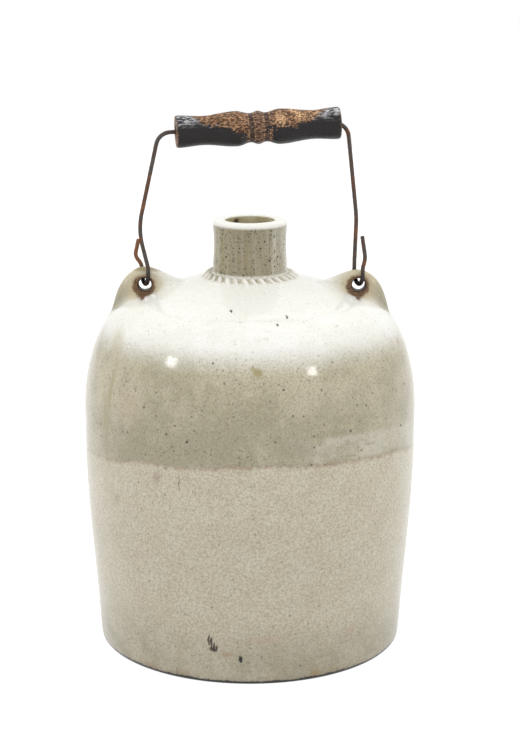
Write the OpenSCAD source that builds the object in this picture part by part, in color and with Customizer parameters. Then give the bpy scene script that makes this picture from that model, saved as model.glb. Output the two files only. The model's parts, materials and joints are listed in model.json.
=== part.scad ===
/* [Body] */
// Radius of the belly, the widest part of the jug
belly_r = 92; // [88:0.5:98]
// How much smaller the radius of the foot is
foot_taper = 7.5; // [4:0.25:11]
// Height of the straight, leaning part of the lower wall
flank_h = 70; // [60:1:74]
// Height of the upright band between the lower wall and the shoulder
band_h = 11.5; // [6:0.5:20]
// Bevel round the foot
foot_bevel = 1.5; // [0.5:0.25:3]
// Thickness of the clay wall
wall = 6.5; // [5:0.25:8]
// Thickness of the floor
floor_t = 8; // [6:0.5:11]
// Radius of the inside corner between the floor and the wall
floor_round_r = 12; // [6:1:18]
// Height of the line where the lower body and the shoulder were luted together
seam_z = 116; // [100:1:122]

/* [Shoulder] */
// Radius of the arc that the upper wall follows
shoulder_r = 101; // [90:1:110]
// Angle that the upper wall turns through, in degrees
shoulder_turn = 25.5; // [22:0.5:28]
// Radius of the rounded corner between the wall and the crown
corner_r = 33.5; // [32:0.5:37]
// Slope of the crown, in degrees from level
crown_slope = 16.5; // [14:0.5:19]

/* [Neck] */
// Outer radius of the collar
neck_r = 20.4; // [18:0.2:22]
// Height of the collar above the crown
neck_h = 29.9; // [24:0.1:36]
// Radius of the mouth, where the cork goes
mouth_r = 13.6; // [11:0.1:14]
// Rounding of the lip outside
lip_out_r = 1.8; // [1:0.1:2.5]
// Rounding of the lip inside
lip_in_r = 1.3; // [0.8:0.1:2]
// Depth of the hollow in the collar's side
collar_hollow = 0.5; // [0.3:0.1:0.8]
// Radius of the ring that seals the collar to the crown, at its middle
ring_r = 23.8; // [22.5:0.1:25]
// Height of that ring above the crown
ring_h = 1.6; // [1:0.1:2.2]
// Roundness of that ring
ring_round_r = 4.4; // [3.6:0.1:5]
// Number of tool marks round that ring
mark_count = 32; // [20:1:40]
// Radius of the tool that pressed them
mark_r = 1.1; // [0.7:0.1:1.3]
// Depth of each mark
mark_depth = 0.8; // [0.4:0.1:1]
// Slant of each mark, in degrees
mark_slant = 28; // [0:1:40]

/* [Ears] */
// Distance of the left ear's hole inwards from the edge of the crown
hole_inset_left = 3.8; // [2:0.1:6]
// Distance of the right ear's hole inwards from the edge of the crown
hole_inset_right = 1.9; // [1:0.1:5]
// Height of the holes above the edge of the crown
hole_rise = 6; // [5.6:0.1:6.6]
// Radius of the holes
hole_r = 3.7; // [3.6:0.05:3.9]
// Rounding of the lips of the holes
hole_lip_r = 1.5; // [0.8:0.1:1.8]
// Height of the left ear above the crown
ear_h_left = 14.4; // [13.6:0.1:14.8]
// Height of the right ear above the crown
ear_h_right = 13.2; // [12.8:0.1:14]
// Half the thickness of an ear at its rim
ear_half_t = 3.6; // [3.2:0.1:3.8]
// How much thicker each face gets towards its foot
ear_foot_swell = 0.4; // [0:0.1:0.8]
// Radius of the fillet between an ear and the crown
ear_fillet_r = 4; // [3:0.25:5]
// Length of the left ear's outer slope
ear_run_out_left = 21.5; // [18:0.5:22]
// Length of the right ear's outer slope
ear_run_out_right = 18; // [16:0.5:22]
// Length of the inner slope of both ears
ear_run_in = 27; // [20:0.5:28]
// Where the level top of an ear starts, outwards from its hole
ear_top_from = 1.4; // [0:0.1:3]
// Where that level top ends
ear_top_to = 4.8; // [4:0.1:6]

/* [Bail] */
// Thickness of the bail wire
wire_d = 2.3; // [1.8:0.1:2.4]
// Height of the hinge line above the top of the holes
bar_half = 2.2; // [2.1:0.05:2.5]
// Radius of each hook, along the middle of the wire
hook_r = 5.9; // [5.8:0.05:6.2]
// Turn of each hook about the upright, in degrees
hook_yaw = 20; // [15:0.5:21]
// Height of the grip's middle above the hinge line
grip_rise = 79.8; // [72:0.5:90]
// Distance of the grip's middle to the right of the jug's middle
grip_shift = 4.3; // [0:0.1:6]
// Tilt of the grip, in degrees, its right end higher
grip_tilt = 2.3; // [0:0.1:4]
// Turn of the grip about the upright, in degrees, its left end nearer
grip_yaw = 7.6; // [6:0.1:9]
// Upright start of each leg and tail above the hinge line
leg_start = 4; // [3.6:0.1:5]
// How far the left knee stands outside its hole
knee_out_left = 3; // [1:0.1:4]
// How far the right knee stands inside its hole
knee_in_right = 1.2; // [0:0.1:3]
// Height of the left knee above the hinge line
knee_rise_left = 25; // [18:0.5:34]
// Height of the right knee above the hinge line
knee_rise_right = 30; // [22:0.5:38]
// Radius of the bend at the left knee
knee_bend_left = 40; // [20:1:50]
// Radius of the bend at the right knee
knee_bend_right = 60; // [30:1:80]
// Radius of the bends beside the grip
top_bend_r = 8; // [6:0.5:9]
// Distance from the grip's left end to the start of its bend
top_gap_left = 3.2; // [2.0:0.1:6.0]
// How far inside the grip's right end the bend starts, in the worn mouth of the bore
top_inside_right = 3.6; // [0:0.1:4.0]

/* [Tails] */
// Radius of the small bends in the tails
tail_bend_r = 5; // [3:0.5:6]
// How far the left tail leans outwards
left_tail_out = 3.8; // [1:0.1:4.5]
// Height of the bend in the left tail above the hinge line
left_tail_rise = 11.5; // [9:0.5:14]
// How far the left tail's tip curls back
left_tail_curl = 2.6; // [0.5:0.1:3.5]
// Height of the left tail's tip above the hinge line
left_tip_rise = 18; // [16:0.5:24]
// How far the right tail leans outwards
right_tail_out = 1.4; // [0.5:0.1:3]
// Height of the bend in the right tail above the hinge line
right_tail_rise = 9; // [7:0.5:13]
// How far the right tail's tip curls back
right_tail_curl = 2; // [0.5:0.1:3]
// Height of the right tail's tip above the hinge line
right_tip_rise = 21.5; // [17:0.5:26]

/* [Grip] */
// Length of the wooden grip
grip_l = 89; // [80:1:94]
// Radius of the grip at its ends
grip_end_r = 8.7; // [7.8:0.1:9.5]
// Radius of the grip at its waists
grip_waist_r = 7.9; // [7:0.1:8.5]
// Radius of the grip at its bellies
grip_belly_r = 9.6; // [9:0.1:10.5]
// Radius of the grip in its grooves
grip_groove_r = 8; // [7.2:0.1:8.8]
// Radius of the bead at its middle
grip_bead_r = 9.1; // [8.5:0.1:10]
// Rounding of the grip's ends
grip_edge = 0.8; // [0.4:0.1:1.2]
// Room between the wire and the bore of the grip
grip_clearance = 0.45; // [0.3:0.05:0.7]
// Radius of the worn mouths of the bore
grip_mouth_r = 3.6; // [3.2:0.1:4]
// Depth of the worn mouths of the bore
grip_mouth_depth = 6; // [5:0.5:8]

/* [Hidden] */
$fn = 96;
// Sides of the large rounds, and of the broad arcs of the wall
round_fn = 240;
broad_fn = 1440;
// Overrun of every cut past the face that it leaves by
cut = 1;
// Colours
glaze = "#c9c3ab";
pale_glaze = "#cfc9b4";
collar_glaze = "#b3aa8f";
rusty_wire = "#54453d";
worn_wood = "#5c4030";

// The wall's outline: each arc starts in the direction in which the last line ends
lean_share = 0.73;
foot_r = belly_r - foot_taper;
flank_top_r = foot_r + (belly_r - foot_r) * lean_share;
lean = atan((flank_top_r - foot_r) / flank_h);
flank_arc_r = (belly_r - flank_top_r) / (1 - cos(lean));
belly_z = flank_h + flank_arc_r * sin(lean);
band_z = belly_z + band_h;
flank_centre = [belly_r - flank_arc_r, belly_z];
shoulder_centre = [belly_r - shoulder_r, band_z];
crown_normal = 90 - crown_slope;
corner_centre = shoulder_centre + (shoulder_r - corner_r) * [cos(shoulder_turn), sin(shoulder_turn)];
crown_edge = corner_centre + corner_r * [cos(crown_normal), sin(crown_normal)];

// Height of the crown's surface at radius r
function crown_z(r) = crown_edge[1] + (crown_edge[0] - r) * tan(crown_slope);

mouth_z = crown_z(neck_r) + neck_h;
// Step that the holes' reach is rounded to
reach_step = 0.1;
hole_reach_left = round((crown_edge[0] - hole_inset_left) / reach_step) * reach_step;
hole_reach_right = round((crown_edge[0] - hole_inset_right) / reach_step) * reach_step;
hole_z = crown_edge[1] + hole_rise;
hinge_z = hole_z + hole_r + bar_half;
wire_r = wire_d / 2;

// A solid lofted through rings of as many points each, closed at both ends
module lofted(rings) {
    n = len(rings[0]);
    last = len(rings) - 1;
    edges = [for (i = [0:last - 1]) for (j = [0:n - 1]) [i * n + j, i * n + (j + 1) % n]];
    polyhedron(
        points = [for (ring = rings) for (p = ring) p],
        faces = concat(
            [[for (j = [n - 1:-1:0]) j]],
            [for (e = edges) [e[0], e[1], e[1] + n]],
            [for (e = edges) [e[0], e[1] + n, e[0] + n]],
            [[for (j = [0:n - 1]) last * n + j]]
        )
    );
}

// A level band between two heights, from the axis out to radius r
module level_band(r, z0, z1) {
    polygon([[0, z0], [r, z0], [r, z1], [0, z1]]);
}

// Part of a disc between two heights, filled in to the axis
module disc_band(centre, r, z0, z1) {
    intersection() {
        level_band(belly_r + cut, z0, z1);
        union() {
            translate(centre) circle(r = r, $fn = broad_fn);
            if (centre[0] > 0) level_band(centre[0], z0, min(z1, centre[1] + r));
        }
    }
}

// Half section of the whole jug below its mouth, drawn in from the outside by inset.
// A straight stretch lies a hair inside the arcs that it runs into, and so does each arc inside a tighter one.
// Each then crosses the next one, and no sliver is left between them.
hair = 0.005;
module half_section(inset) {
    flank_top = [flank_top_r - inset * cos(lean), flank_h + inset * sin(lean)];
    corner_in_r = corner_r - inset;
    corner_start_z = corner_centre[1] + corner_in_r * sin(shoulder_turn);
    corner_end = corner_centre + corner_in_r * [cos(crown_normal), sin(crown_normal)];
    band_middle = (belly_z + band_z) / 2;
    polygon([[0, 0], [foot_r - inset / cos(lean) - hair, 0], flank_top - [hair, 0], [0, flank_top[1]]]);
    disc_band(flank_centre, flank_arc_r - inset, 0, band_middle);
    level_band(belly_r - inset - hair, belly_z, band_z);
    disc_band(shoulder_centre, shoulder_r - inset, band_middle, corner_start_z);
    disc_band(corner_centre, corner_in_r + hair, corner_centre[1], corner_centre[1] + corner_in_r + cut);
    translate([0, -hair])
        polygon([[0, corner_end[1]], corner_end, [0, corner_end[1] + corner_end[0] * tan(crown_slope)]]);
}

// The room inside, with its rounded floor corner
module cavity_section() {
    round_top = floor_t + floor_round_r;
    inner_r = foot_r - wall / cos(lean) + round_top * tan(lean);
    intersection() {
        half_section(wall);
        union() {
            translate([0, round_top]) square([belly_r, crown_edge[1]]);
            disc_band([inner_r + hair - floor_round_r, round_top], floor_round_r, floor_t, round_top);
        }
    }
}

// Lower body: the floor and the wall up to the seam
module lower_body() {
    color(pale_glaze)
        rotate_extrude($fn = round_fn)
            difference() {
                intersection() {
                    half_section(0);
                    square([belly_r + cut, seam_z]);
                }
                cavity_section();
                polygon([
                    [foot_r - foot_bevel - cut, -cut],
                    [foot_r + foot_bevel, -cut],
                    [foot_r + foot_bevel, foot_bevel * 2]
                ]);
            }
}

// Shoulder: the wall above the seam, its rounded corner and the crown, open at the neck
module shoulder() {
    color(glaze)
        rotate_extrude($fn = round_fn)
            difference() {
                half_section(0);
                square([belly_r + cut, seam_z]);
                cavity_section();
                square([mouth_r, mouth_z]);
            }
}

// What lies outside a rounded corner: the corner itself less a disc
module corner_waste(centre, r, side) {
    difference() {
        translate(centre + [side > 0 ? 0 : -r - cut, 0]) square(r + cut);
        translate(centre) circle(r = r);
    }
}

// Neck: the collar, its rounded lip and the ring of tool marks that seals it to the crown
module neck() {
    hollow_l = neck_h - lip_out_r * 3 - ring_h * 2;
    hollow_r = (pow(hollow_l / 2, 2) + pow(collar_hollow, 2)) / (2 * collar_hollow);
    ring_centre = [ring_r, crown_z(ring_r) + ring_h - ring_round_r];
    ring_end_r = ring_r + ring_round_r;
    color(collar_glaze)
        difference() {
            rotate_extrude($fn = round_fn)
                difference() {
                    union() {
                        square([neck_r, mouth_z]);
                        translate(ring_centre) circle(r = ring_round_r);
                    }
                    polygon([[0, 0], [0, crown_z(0)], [ring_end_r, crown_z(ring_end_r)], [ring_end_r, 0]]);
                    square([mouth_r, mouth_z + cut]);
                    translate([neck_r - collar_hollow + hollow_r, mouth_z - lip_out_r * 2 - hollow_l / 2])
                        circle(r = hollow_r, $fn = broad_fn);
                    corner_waste([neck_r - lip_out_r, mouth_z - lip_out_r], lip_out_r, 1);
                    corner_waste([mouth_r + lip_in_r, mouth_z - lip_in_r], lip_in_r, -1);
                }
            for (i = [0:mark_count - 1])
                rotate([0, 0, i * 360 / mark_count])
                    translate([ring_r, 0, crown_z(ring_r) + ring_h - mark_depth + mark_r])
                        rotate([0, 90 + crown_slope, mark_slant])
                            cylinder(r = mark_r, h = ring_round_r * 2, center = true, $fn = 24);
        }
}

// A point on the outline at run s from the crown's edge, outwards, and the normal's angle there
function outline_angle(s) = s <= 0 ? crown_normal : crown_normal - s / corner_r * 180 / PI;
function outline_point(s) =
    let (a = outline_angle(s))
    s <= 0 ? crown_edge + s * [sin(a), -cos(a)] : corner_centre + corner_r * [cos(a), sin(a)];

// Rise of an ear along the outline: level on top, eased down to nothing at both toes
function ease(x) = (1 + cos(180 * min(1, max(0, x)))) / 2;
function ear_rise(s, from, to, run_in, run_out) =
    s < from ? ease((from - s) / run_in) : s > to ? ease((s - to) / run_out) : 1;

// Half section of an ear, as distances across the ear and above the crown.
// It is a rounded rim, a face that swells a little, and a hollow fillet that ends just clear of the crown.
rim_steps = 5;
fillet_steps = 4;
fillet_end = 66;
function ear_half(h, k) =
    let (t = ear_half_t * k, f = ear_fillet_r * k, d = ear_foot_swell * k)
    concat(
        [for (i = [0:rim_steps]) let (a = 90 * i / rim_steps) [t * sin(a), h - t * (1 - cos(a))]],
        [for (i = [0:fillet_steps]) let (a = fillet_end * i / fillet_steps)
            [t + d + f * (1 - cos(a)), f * (1 - sin(a))]]
    );

// One ring of the ear: the half section and its mirror image, with a skirt down into the crown.
// The crown falls away to both sides, and the ring follows it.
function ear_ring(s, h, k) =
    let (
        a = outline_angle(s),
        p = outline_point(s),
        half = ear_half(h, k),
        last = len(half) - 1,
        skirt = [half[last][0], -ear_fillet_r],
        across = concat(
            [[-skirt[0], skirt[1]]],
            [for (i = [last:-1:1]) [-half[i][0], half[i][1]]],
            half,
            [skirt]
        )
    )
    [for (q = across)
        let (drop = (sqrt(p[0] * p[0] + q[0] * q[0]) - p[0]) * cos(a), d = q[1] - drop)
        [p[0] + d * cos(a), q[0], p[1] + d * sin(a)]];

ear_steps = 28;
// How deep the toes start below the crown
toe_sink = 0.7;
// Ends of an ear's length, a little inside its toes
toe_shares = [0.06, 0.97];

// An ear faired into the crown: rings along the outline, from its inner toe to its outer one
module ear_blank(reach, height, run_out) {
    foot_s = (reach - hole_rise * sin(crown_slope) - crown_edge[0]) / cos(crown_slope);
    from = foot_s + ear_top_from;
    to = foot_s + ear_top_to;
    start = from - ear_run_in;
    length = to + run_out - start;
    lofted([
        for (i = [0:ear_steps])
            let (
                share = toe_shares[0] + (toe_shares[1] - toe_shares[0]) * i / ear_steps,
                s = start + length * share,
                rise = (height + toe_sink) * ear_rise(s, from, to, ear_run_in, run_out),
                k = min(1, rise / (ear_half_t + ear_fillet_r))
            )
            ear_ring(s, rise - toe_sink, k)
    ]);
}

// The hole that the wire goes through, with its lips rounded on both faces
module ear_hole() {
    face = ear_half_t + ear_foot_swell;
    flat = face - hole_lip_r;
    half_l = face + ear_fillet_r + cut;
    rotate([90, 0, 0])
        rotate_extrude()
            difference() {
                translate([0, -half_l]) square([hole_r + hole_lip_r, half_l * 2]);
                translate([hole_r, -flat]) square([hole_lip_r + cut, flat * 2]);
                for (side = [-1, 1]) translate([hole_r + hole_lip_r, side * flat]) circle(r = hole_lip_r);
            }
}

// An ear on the right-hand side, seated on the shoulder's own outer surface
module ear(reach, height, run_out) {
    difference() {
        ear_blank(reach, height, run_out);
        rotate([0, 0, 90]) rotate_extrude($fn = round_fn) half_section(0);
        translate([reach, 0, hole_z]) ear_hole();
    }
}

module ear_left() {
    color(glaze) rotate([0, 0, 180]) ear(hole_reach_left, ear_h_left, ear_run_out_left);
}

module ear_right() {
    color(glaze) ear(hole_reach_right, ear_h_right, ear_run_out_right);
}

// Places on the bail: the ends of the hooks, the grip's axis and the corners of the legs and tails
left_hole = [-hole_reach_left, 0, hinge_z];
right_hole = [hole_reach_right, 0, hinge_z];
hook_front = hook_r * [sin(hook_yaw), -cos(hook_yaw), 0];
grip_mid = [grip_shift, 0, hinge_z + grip_rise];
grip_dir = [cos(grip_tilt) * cos(grip_yaw), cos(grip_tilt) * sin(grip_yaw), sin(grip_tilt)];
knee_left = [-hole_reach_left - knee_out_left, -hook_r, hinge_z + knee_rise_left];
knee_right = [hole_reach_right - knee_in_right, hook_r, hinge_z + knee_rise_right];
top_left = top_corner(knee_left, -grip_dir, top_gap_left);
top_right = top_corner(knee_right, grip_dir, -top_inside_right);
up = [0, 0, 1];

// The swept stretches are this much slimmer than the hooks and the grip's run, and start this far inside them
swept_slack = 0.02;
swept_lap = 0.3;
swept_sides = 16;
bend_step = 9;

function unit(v) = v / norm(v);
function turn_at(p, i) = acos(min(1, unit(p[i] - p[i - 1]) * unit(p[i + 1] - p[i])));
function setback(p, r, i) = r[i] * tan(turn_at(p, i) / 2);

// The corner of the bend beside the grip: the gap past the grip's end, and then the length that the bend takes up
function top_corner(knee, along, gap) =
    let (
        end = grip_mid + along * grip_l / 2,
        about = end + along * top_bend_r
    )
    end + along * (gap + setback([knee, about, grip_mid], [0, top_bend_r, 0], 1));

// The middle line of a stretch of wire: straight runs between corners p, each rounded with radius r
function bend_points(p, r, i) =
    let (
        back = unit(p[i - 1] - p[i]),
        on = unit(p[i + 1] - p[i]),
        turn = turn_at(p, i),
        centre = p[i] + unit(back + on) * r[i] / cos(turn / 2),
        from = p[i] + back * setback(p, r, i) - centre,
        side = unit(cross(cross(back, on), from)) * r[i],
        steps = max(2, ceil(turn / bend_step)),
        sign = side * back < 0 ? 1 : -1
    )
    [for (j = [0:steps]) let (a = turn * j / steps) centre + from * cos(a) + side * sign * sin(a)];

function middle_line(p, r) =
    concat([p[0]], [for (i = [1:len(p) - 2]) each bend_points(p, r, i)], [p[len(p) - 1]]);

// A stretch of wire swept along its middle line
module swept_wire(p, r) {
    line = middle_line(p, r);
    last = len(line) - 1;
    radius = wire_r - swept_slack;
    lofted([
        for (i = [0:last])
            let (
                t = unit(line[min(last, i + 1)] - line[max(0, i - 1)]),
                e1 = unit(cross([0, 1, 0], t)),
                e2 = cross(t, e1)
            )
            [for (j = [0:swept_sides - 1])
                let (a = -360 * j / swept_sides) line[i] + radius * (cos(a) * e1 + sin(a) * e2)]
    ]);
}

// A hook under the bar of clay over a hole: half a ring, open upwards
module hook(centre) {
    translate(centre)
        rotate([0, 0, hook_yaw])
            rotate([90, 0, 90])
                rotate([0, 0, 180])
                    rotate_extrude(angle = 180)
                        translate([hook_r, 0]) circle(r = wire_r, $fn = 32);
}

// A leg from its hook, up past its knee and round into the grip
module leg(hook_end, knee, knee_bend, top, along) {
    start = hook_end - up * swept_lap;
    upright = hook_end + up * leg_start;
    stop = top + along * (setback([knee, top, grip_mid], [0, top_bend_r, 0], 1) + swept_lap);
    swept_wire([start, upright, knee, top, stop], [0, tail_bend_r, knee_bend, top_bend_r, 0]);
}

// A tail from its hook, leaning out and curling back
module tail(hook_end, side, lean_out, bend_rise, curl, tip_rise) {
    start = hook_end - up * swept_lap;
    upright = hook_end + up * leg_start;
    bend = [hook_end[0] + side * lean_out, hook_end[1], hinge_z + bend_rise];
    tip = [bend[0] - side * curl, hook_end[1], hinge_z + tip_rise];
    swept_wire([start, upright, bend, tip], [0, tail_bend_r, tail_bend_r, 0]);
}

// The straight run of wire through the grip, from bend to bend
module grip_run() {
    from = top_left + grip_dir * setback([knee_left, top_left, grip_mid], [0, top_bend_r, 0], 1);
    to = top_right - grip_dir * setback([knee_right, top_right, grip_mid], [0, top_bend_r, 0], 1);
    translate(from)
        rotate([0, acos(grip_dir[2]), grip_yaw])
            cylinder(r = wire_r, h = norm(to - from), $fn = 32);
}

// Bail wire: two hooks, two legs, two tails and the run through the grip, one bent wire
module bail_wire() {
    color(rusty_wire) {
        hook(left_hole);
        hook(right_hole);
        leg(left_hole + hook_front, knee_left, knee_bend_left, top_left, grip_dir);
        leg(right_hole - hook_front, knee_right, knee_bend_right, top_right, -grip_dir);
        tail(left_hole - hook_front, -1, left_tail_out, left_tail_rise, left_tail_curl, left_tip_rise);
        tail(right_hole + hook_front, 1, right_tail_out, right_tail_rise, right_tail_curl, right_tip_rise);
        grip_run();
    }
}

// Half outline of the turned grip, from the bead at its middle to one end
grip_place_shares = [0, 0.095, 0.27, 0.69, 1];
grip_radii = [grip_bead_r, grip_groove_r, grip_belly_r, grip_waist_r, grip_end_r];
grip_steps = 6;
function grip_point(i, j) =
    let (
        x = j / grip_steps,
        share = grip_place_shares[i] + (grip_place_shares[i + 1] - grip_place_shares[i]) * x
    )
    [
        grip_radii[i + 1] + (grip_radii[i] - grip_radii[i + 1]) * ease(x),
        share * (grip_l / 2 - grip_edge)
    ];

// Wooden grip: turned, bored for the wire, with the mouths of the bore worn wide
module wooden_grip() {
    half_l = grip_l / 2;
    half_outline = [for (i = [0:len(grip_radii) - 2]) for (j = [0:grip_steps - 1]) grip_point(i, j)];
    end_outline = [[grip_end_r, half_l - grip_edge], [grip_end_r - grip_edge, half_l]];
    upper = concat(half_outline, end_outline);
    lower = [for (i = [len(upper) - 1:-1:1]) [upper[i][0], -upper[i][1]]];
    color(worn_wood)
        translate(grip_mid)
            rotate([0, acos(grip_dir[2]), grip_yaw])
                difference() {
                    rotate_extrude() polygon(concat([[0, -half_l]], lower, upper, [[0, half_l]]));
                    cylinder(r = wire_r + grip_clearance, h = grip_l + cut * 2, center = true, $fn = 48);
                    for (side = [0, 1])
                        mirror([0, 0, side])
                            translate([0, 0, half_l - grip_mouth_depth])
                                cylinder(
                                    r1 = wire_r + grip_clearance - swept_slack,
                                    r2 = grip_mouth_r,
                                    h = grip_mouth_depth + swept_slack
                                );
                }
}

lower_body();
shoulder();
neck();
ear_left();
ear_right();
bail_wire();
wooden_grip();
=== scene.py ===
"""Visual model of a stoneware jug: clay body, collared mouth, pierced ears, wire bail and wooden grip."""

import json
import logging
import math
from dataclasses import dataclass
from enum import Enum
from functools import cached_property, reduce
from typing import Any, Callable, Optional, Sequence, Union

import bpy
import numpy as np
from mathutils import Matrix, Vector, noise


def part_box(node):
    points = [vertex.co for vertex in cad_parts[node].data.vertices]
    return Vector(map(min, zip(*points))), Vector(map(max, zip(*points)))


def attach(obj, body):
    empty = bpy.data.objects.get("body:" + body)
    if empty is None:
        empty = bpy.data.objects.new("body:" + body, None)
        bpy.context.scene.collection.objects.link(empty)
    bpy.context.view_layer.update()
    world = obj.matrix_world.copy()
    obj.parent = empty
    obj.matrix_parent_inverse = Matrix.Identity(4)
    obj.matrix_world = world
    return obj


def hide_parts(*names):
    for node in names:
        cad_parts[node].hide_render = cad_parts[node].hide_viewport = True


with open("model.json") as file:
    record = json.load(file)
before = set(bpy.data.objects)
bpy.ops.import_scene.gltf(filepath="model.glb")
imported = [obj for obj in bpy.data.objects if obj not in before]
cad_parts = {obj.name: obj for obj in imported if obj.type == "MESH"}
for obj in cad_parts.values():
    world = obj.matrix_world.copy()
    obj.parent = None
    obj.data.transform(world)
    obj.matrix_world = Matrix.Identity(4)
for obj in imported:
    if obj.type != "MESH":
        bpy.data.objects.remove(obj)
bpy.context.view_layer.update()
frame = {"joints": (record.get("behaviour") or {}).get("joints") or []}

log = logging.getLogger("jug")

MM = 0.001
FULL_TURN = 2 * math.pi
SIZE_TOLERANCE = 0.1

Outline = list[tuple[float, float]]
Triple = tuple[float, float, float]
Tint = tuple[int, int, int]
Socket = bpy.types.NodeSocket
Sockets = bpy.types.bpy_prop_collection
Feed = Union[Socket, float, Sequence[float]]
Feeds = dict[Union[str, int], Feed]
Piece = bpy.types.Object
Material = bpy.types.Material


class Side(Enum):
    """Left or right of the jug as the camera sees it, with the sign of X there."""

    LEFT = -1
    RIGHT = 1


class Coat(Enum):
    """Place of a glaze coat in the material slots of a clay piece."""

    OUTSIDE = 0
    INSIDE = 1


def ease(x: np.ndarray) -> np.ndarray:
    """Fall softly from 1 at x = 0 to 0 at x = 1.

    Args:
        x: Share of the way, cut to 0..1.

    Returns:
        The eased value.
    """
    return (1 + np.cos(np.pi * np.clip(x, 0, 1))) / 2


def arc(centre: tuple[float, float], r: float, start: float, end: float, step: float) -> Outline:
    """List points along an arc in the (radius, height) plane.

    Args:
        centre: Middle of the arc.
        r: Its radius.
        start: First angle, in degrees from level outwards.
        end: Last angle.
        step: Largest distance between two points.

    Returns:
        The points, both ends included.
    """
    count = max(2, math.ceil(abs(math.radians(end - start)) * r / step))
    angles = [math.radians(start + (end - start) * i / count) for i in range(count + 1)]
    return [(centre[0] + r * math.cos(a), centre[1] + r * math.sin(a)) for a in angles]


def line(start: tuple[float, float], end: tuple[float, float], step: float) -> Outline:
    """List points along a straight stretch, both ends included.

    Args:
        start: First point.
        end: Last point.
        step: Largest distance between two points.

    Returns:
        The points.
    """
    count = max(1, math.ceil(math.dist(start, end) / step))
    return [
        (start[0] + (end[0] - start[0]) * i / count, start[1] + (end[1] - start[1]) * i / count)
        for i in range(count + 1)
    ]


def joined(*stretches: Outline) -> Outline:
    """Join stretches of outline and drop points that repeat.

    Args:
        *stretches: Stretches in their order.

    Returns:
        The points.
    """
    points: Outline = []
    for stretch in stretches:
        for point in stretch:
            if not points or math.dist(points[-1], point) > 1e-4:
                points.append(point)
    return points


def field(points: np.ndarray, size: float, seed: float = 0.0) -> np.ndarray:
    """Sample a smooth random field.

    Args:
        points: Places in millimetres, one a row.
        size: Rough size of a hump in millimetres.
        seed: Shift of the field.

    Returns:
        A value from about -1 to 1 for each place.
    """
    shift = Vector((seed, seed * 1.7, -seed))
    return np.array([noise.noise(Vector(p) / size + shift) for p in points])


def scatter(number: np.ndarray, pace: float, shift: float, size: float) -> np.ndarray:
    """Draw a value from 0 to 1 for each whole number, the same one every time.

    Args:
        number: The whole numbers.
        pace: Factor inside the sine.
        shift: Shift inside the sine.
        size: Factor outside it.

    Returns:
        The values.
    """
    draw = np.sin(number * pace + shift) * size
    return draw - np.floor(draw)


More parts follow.
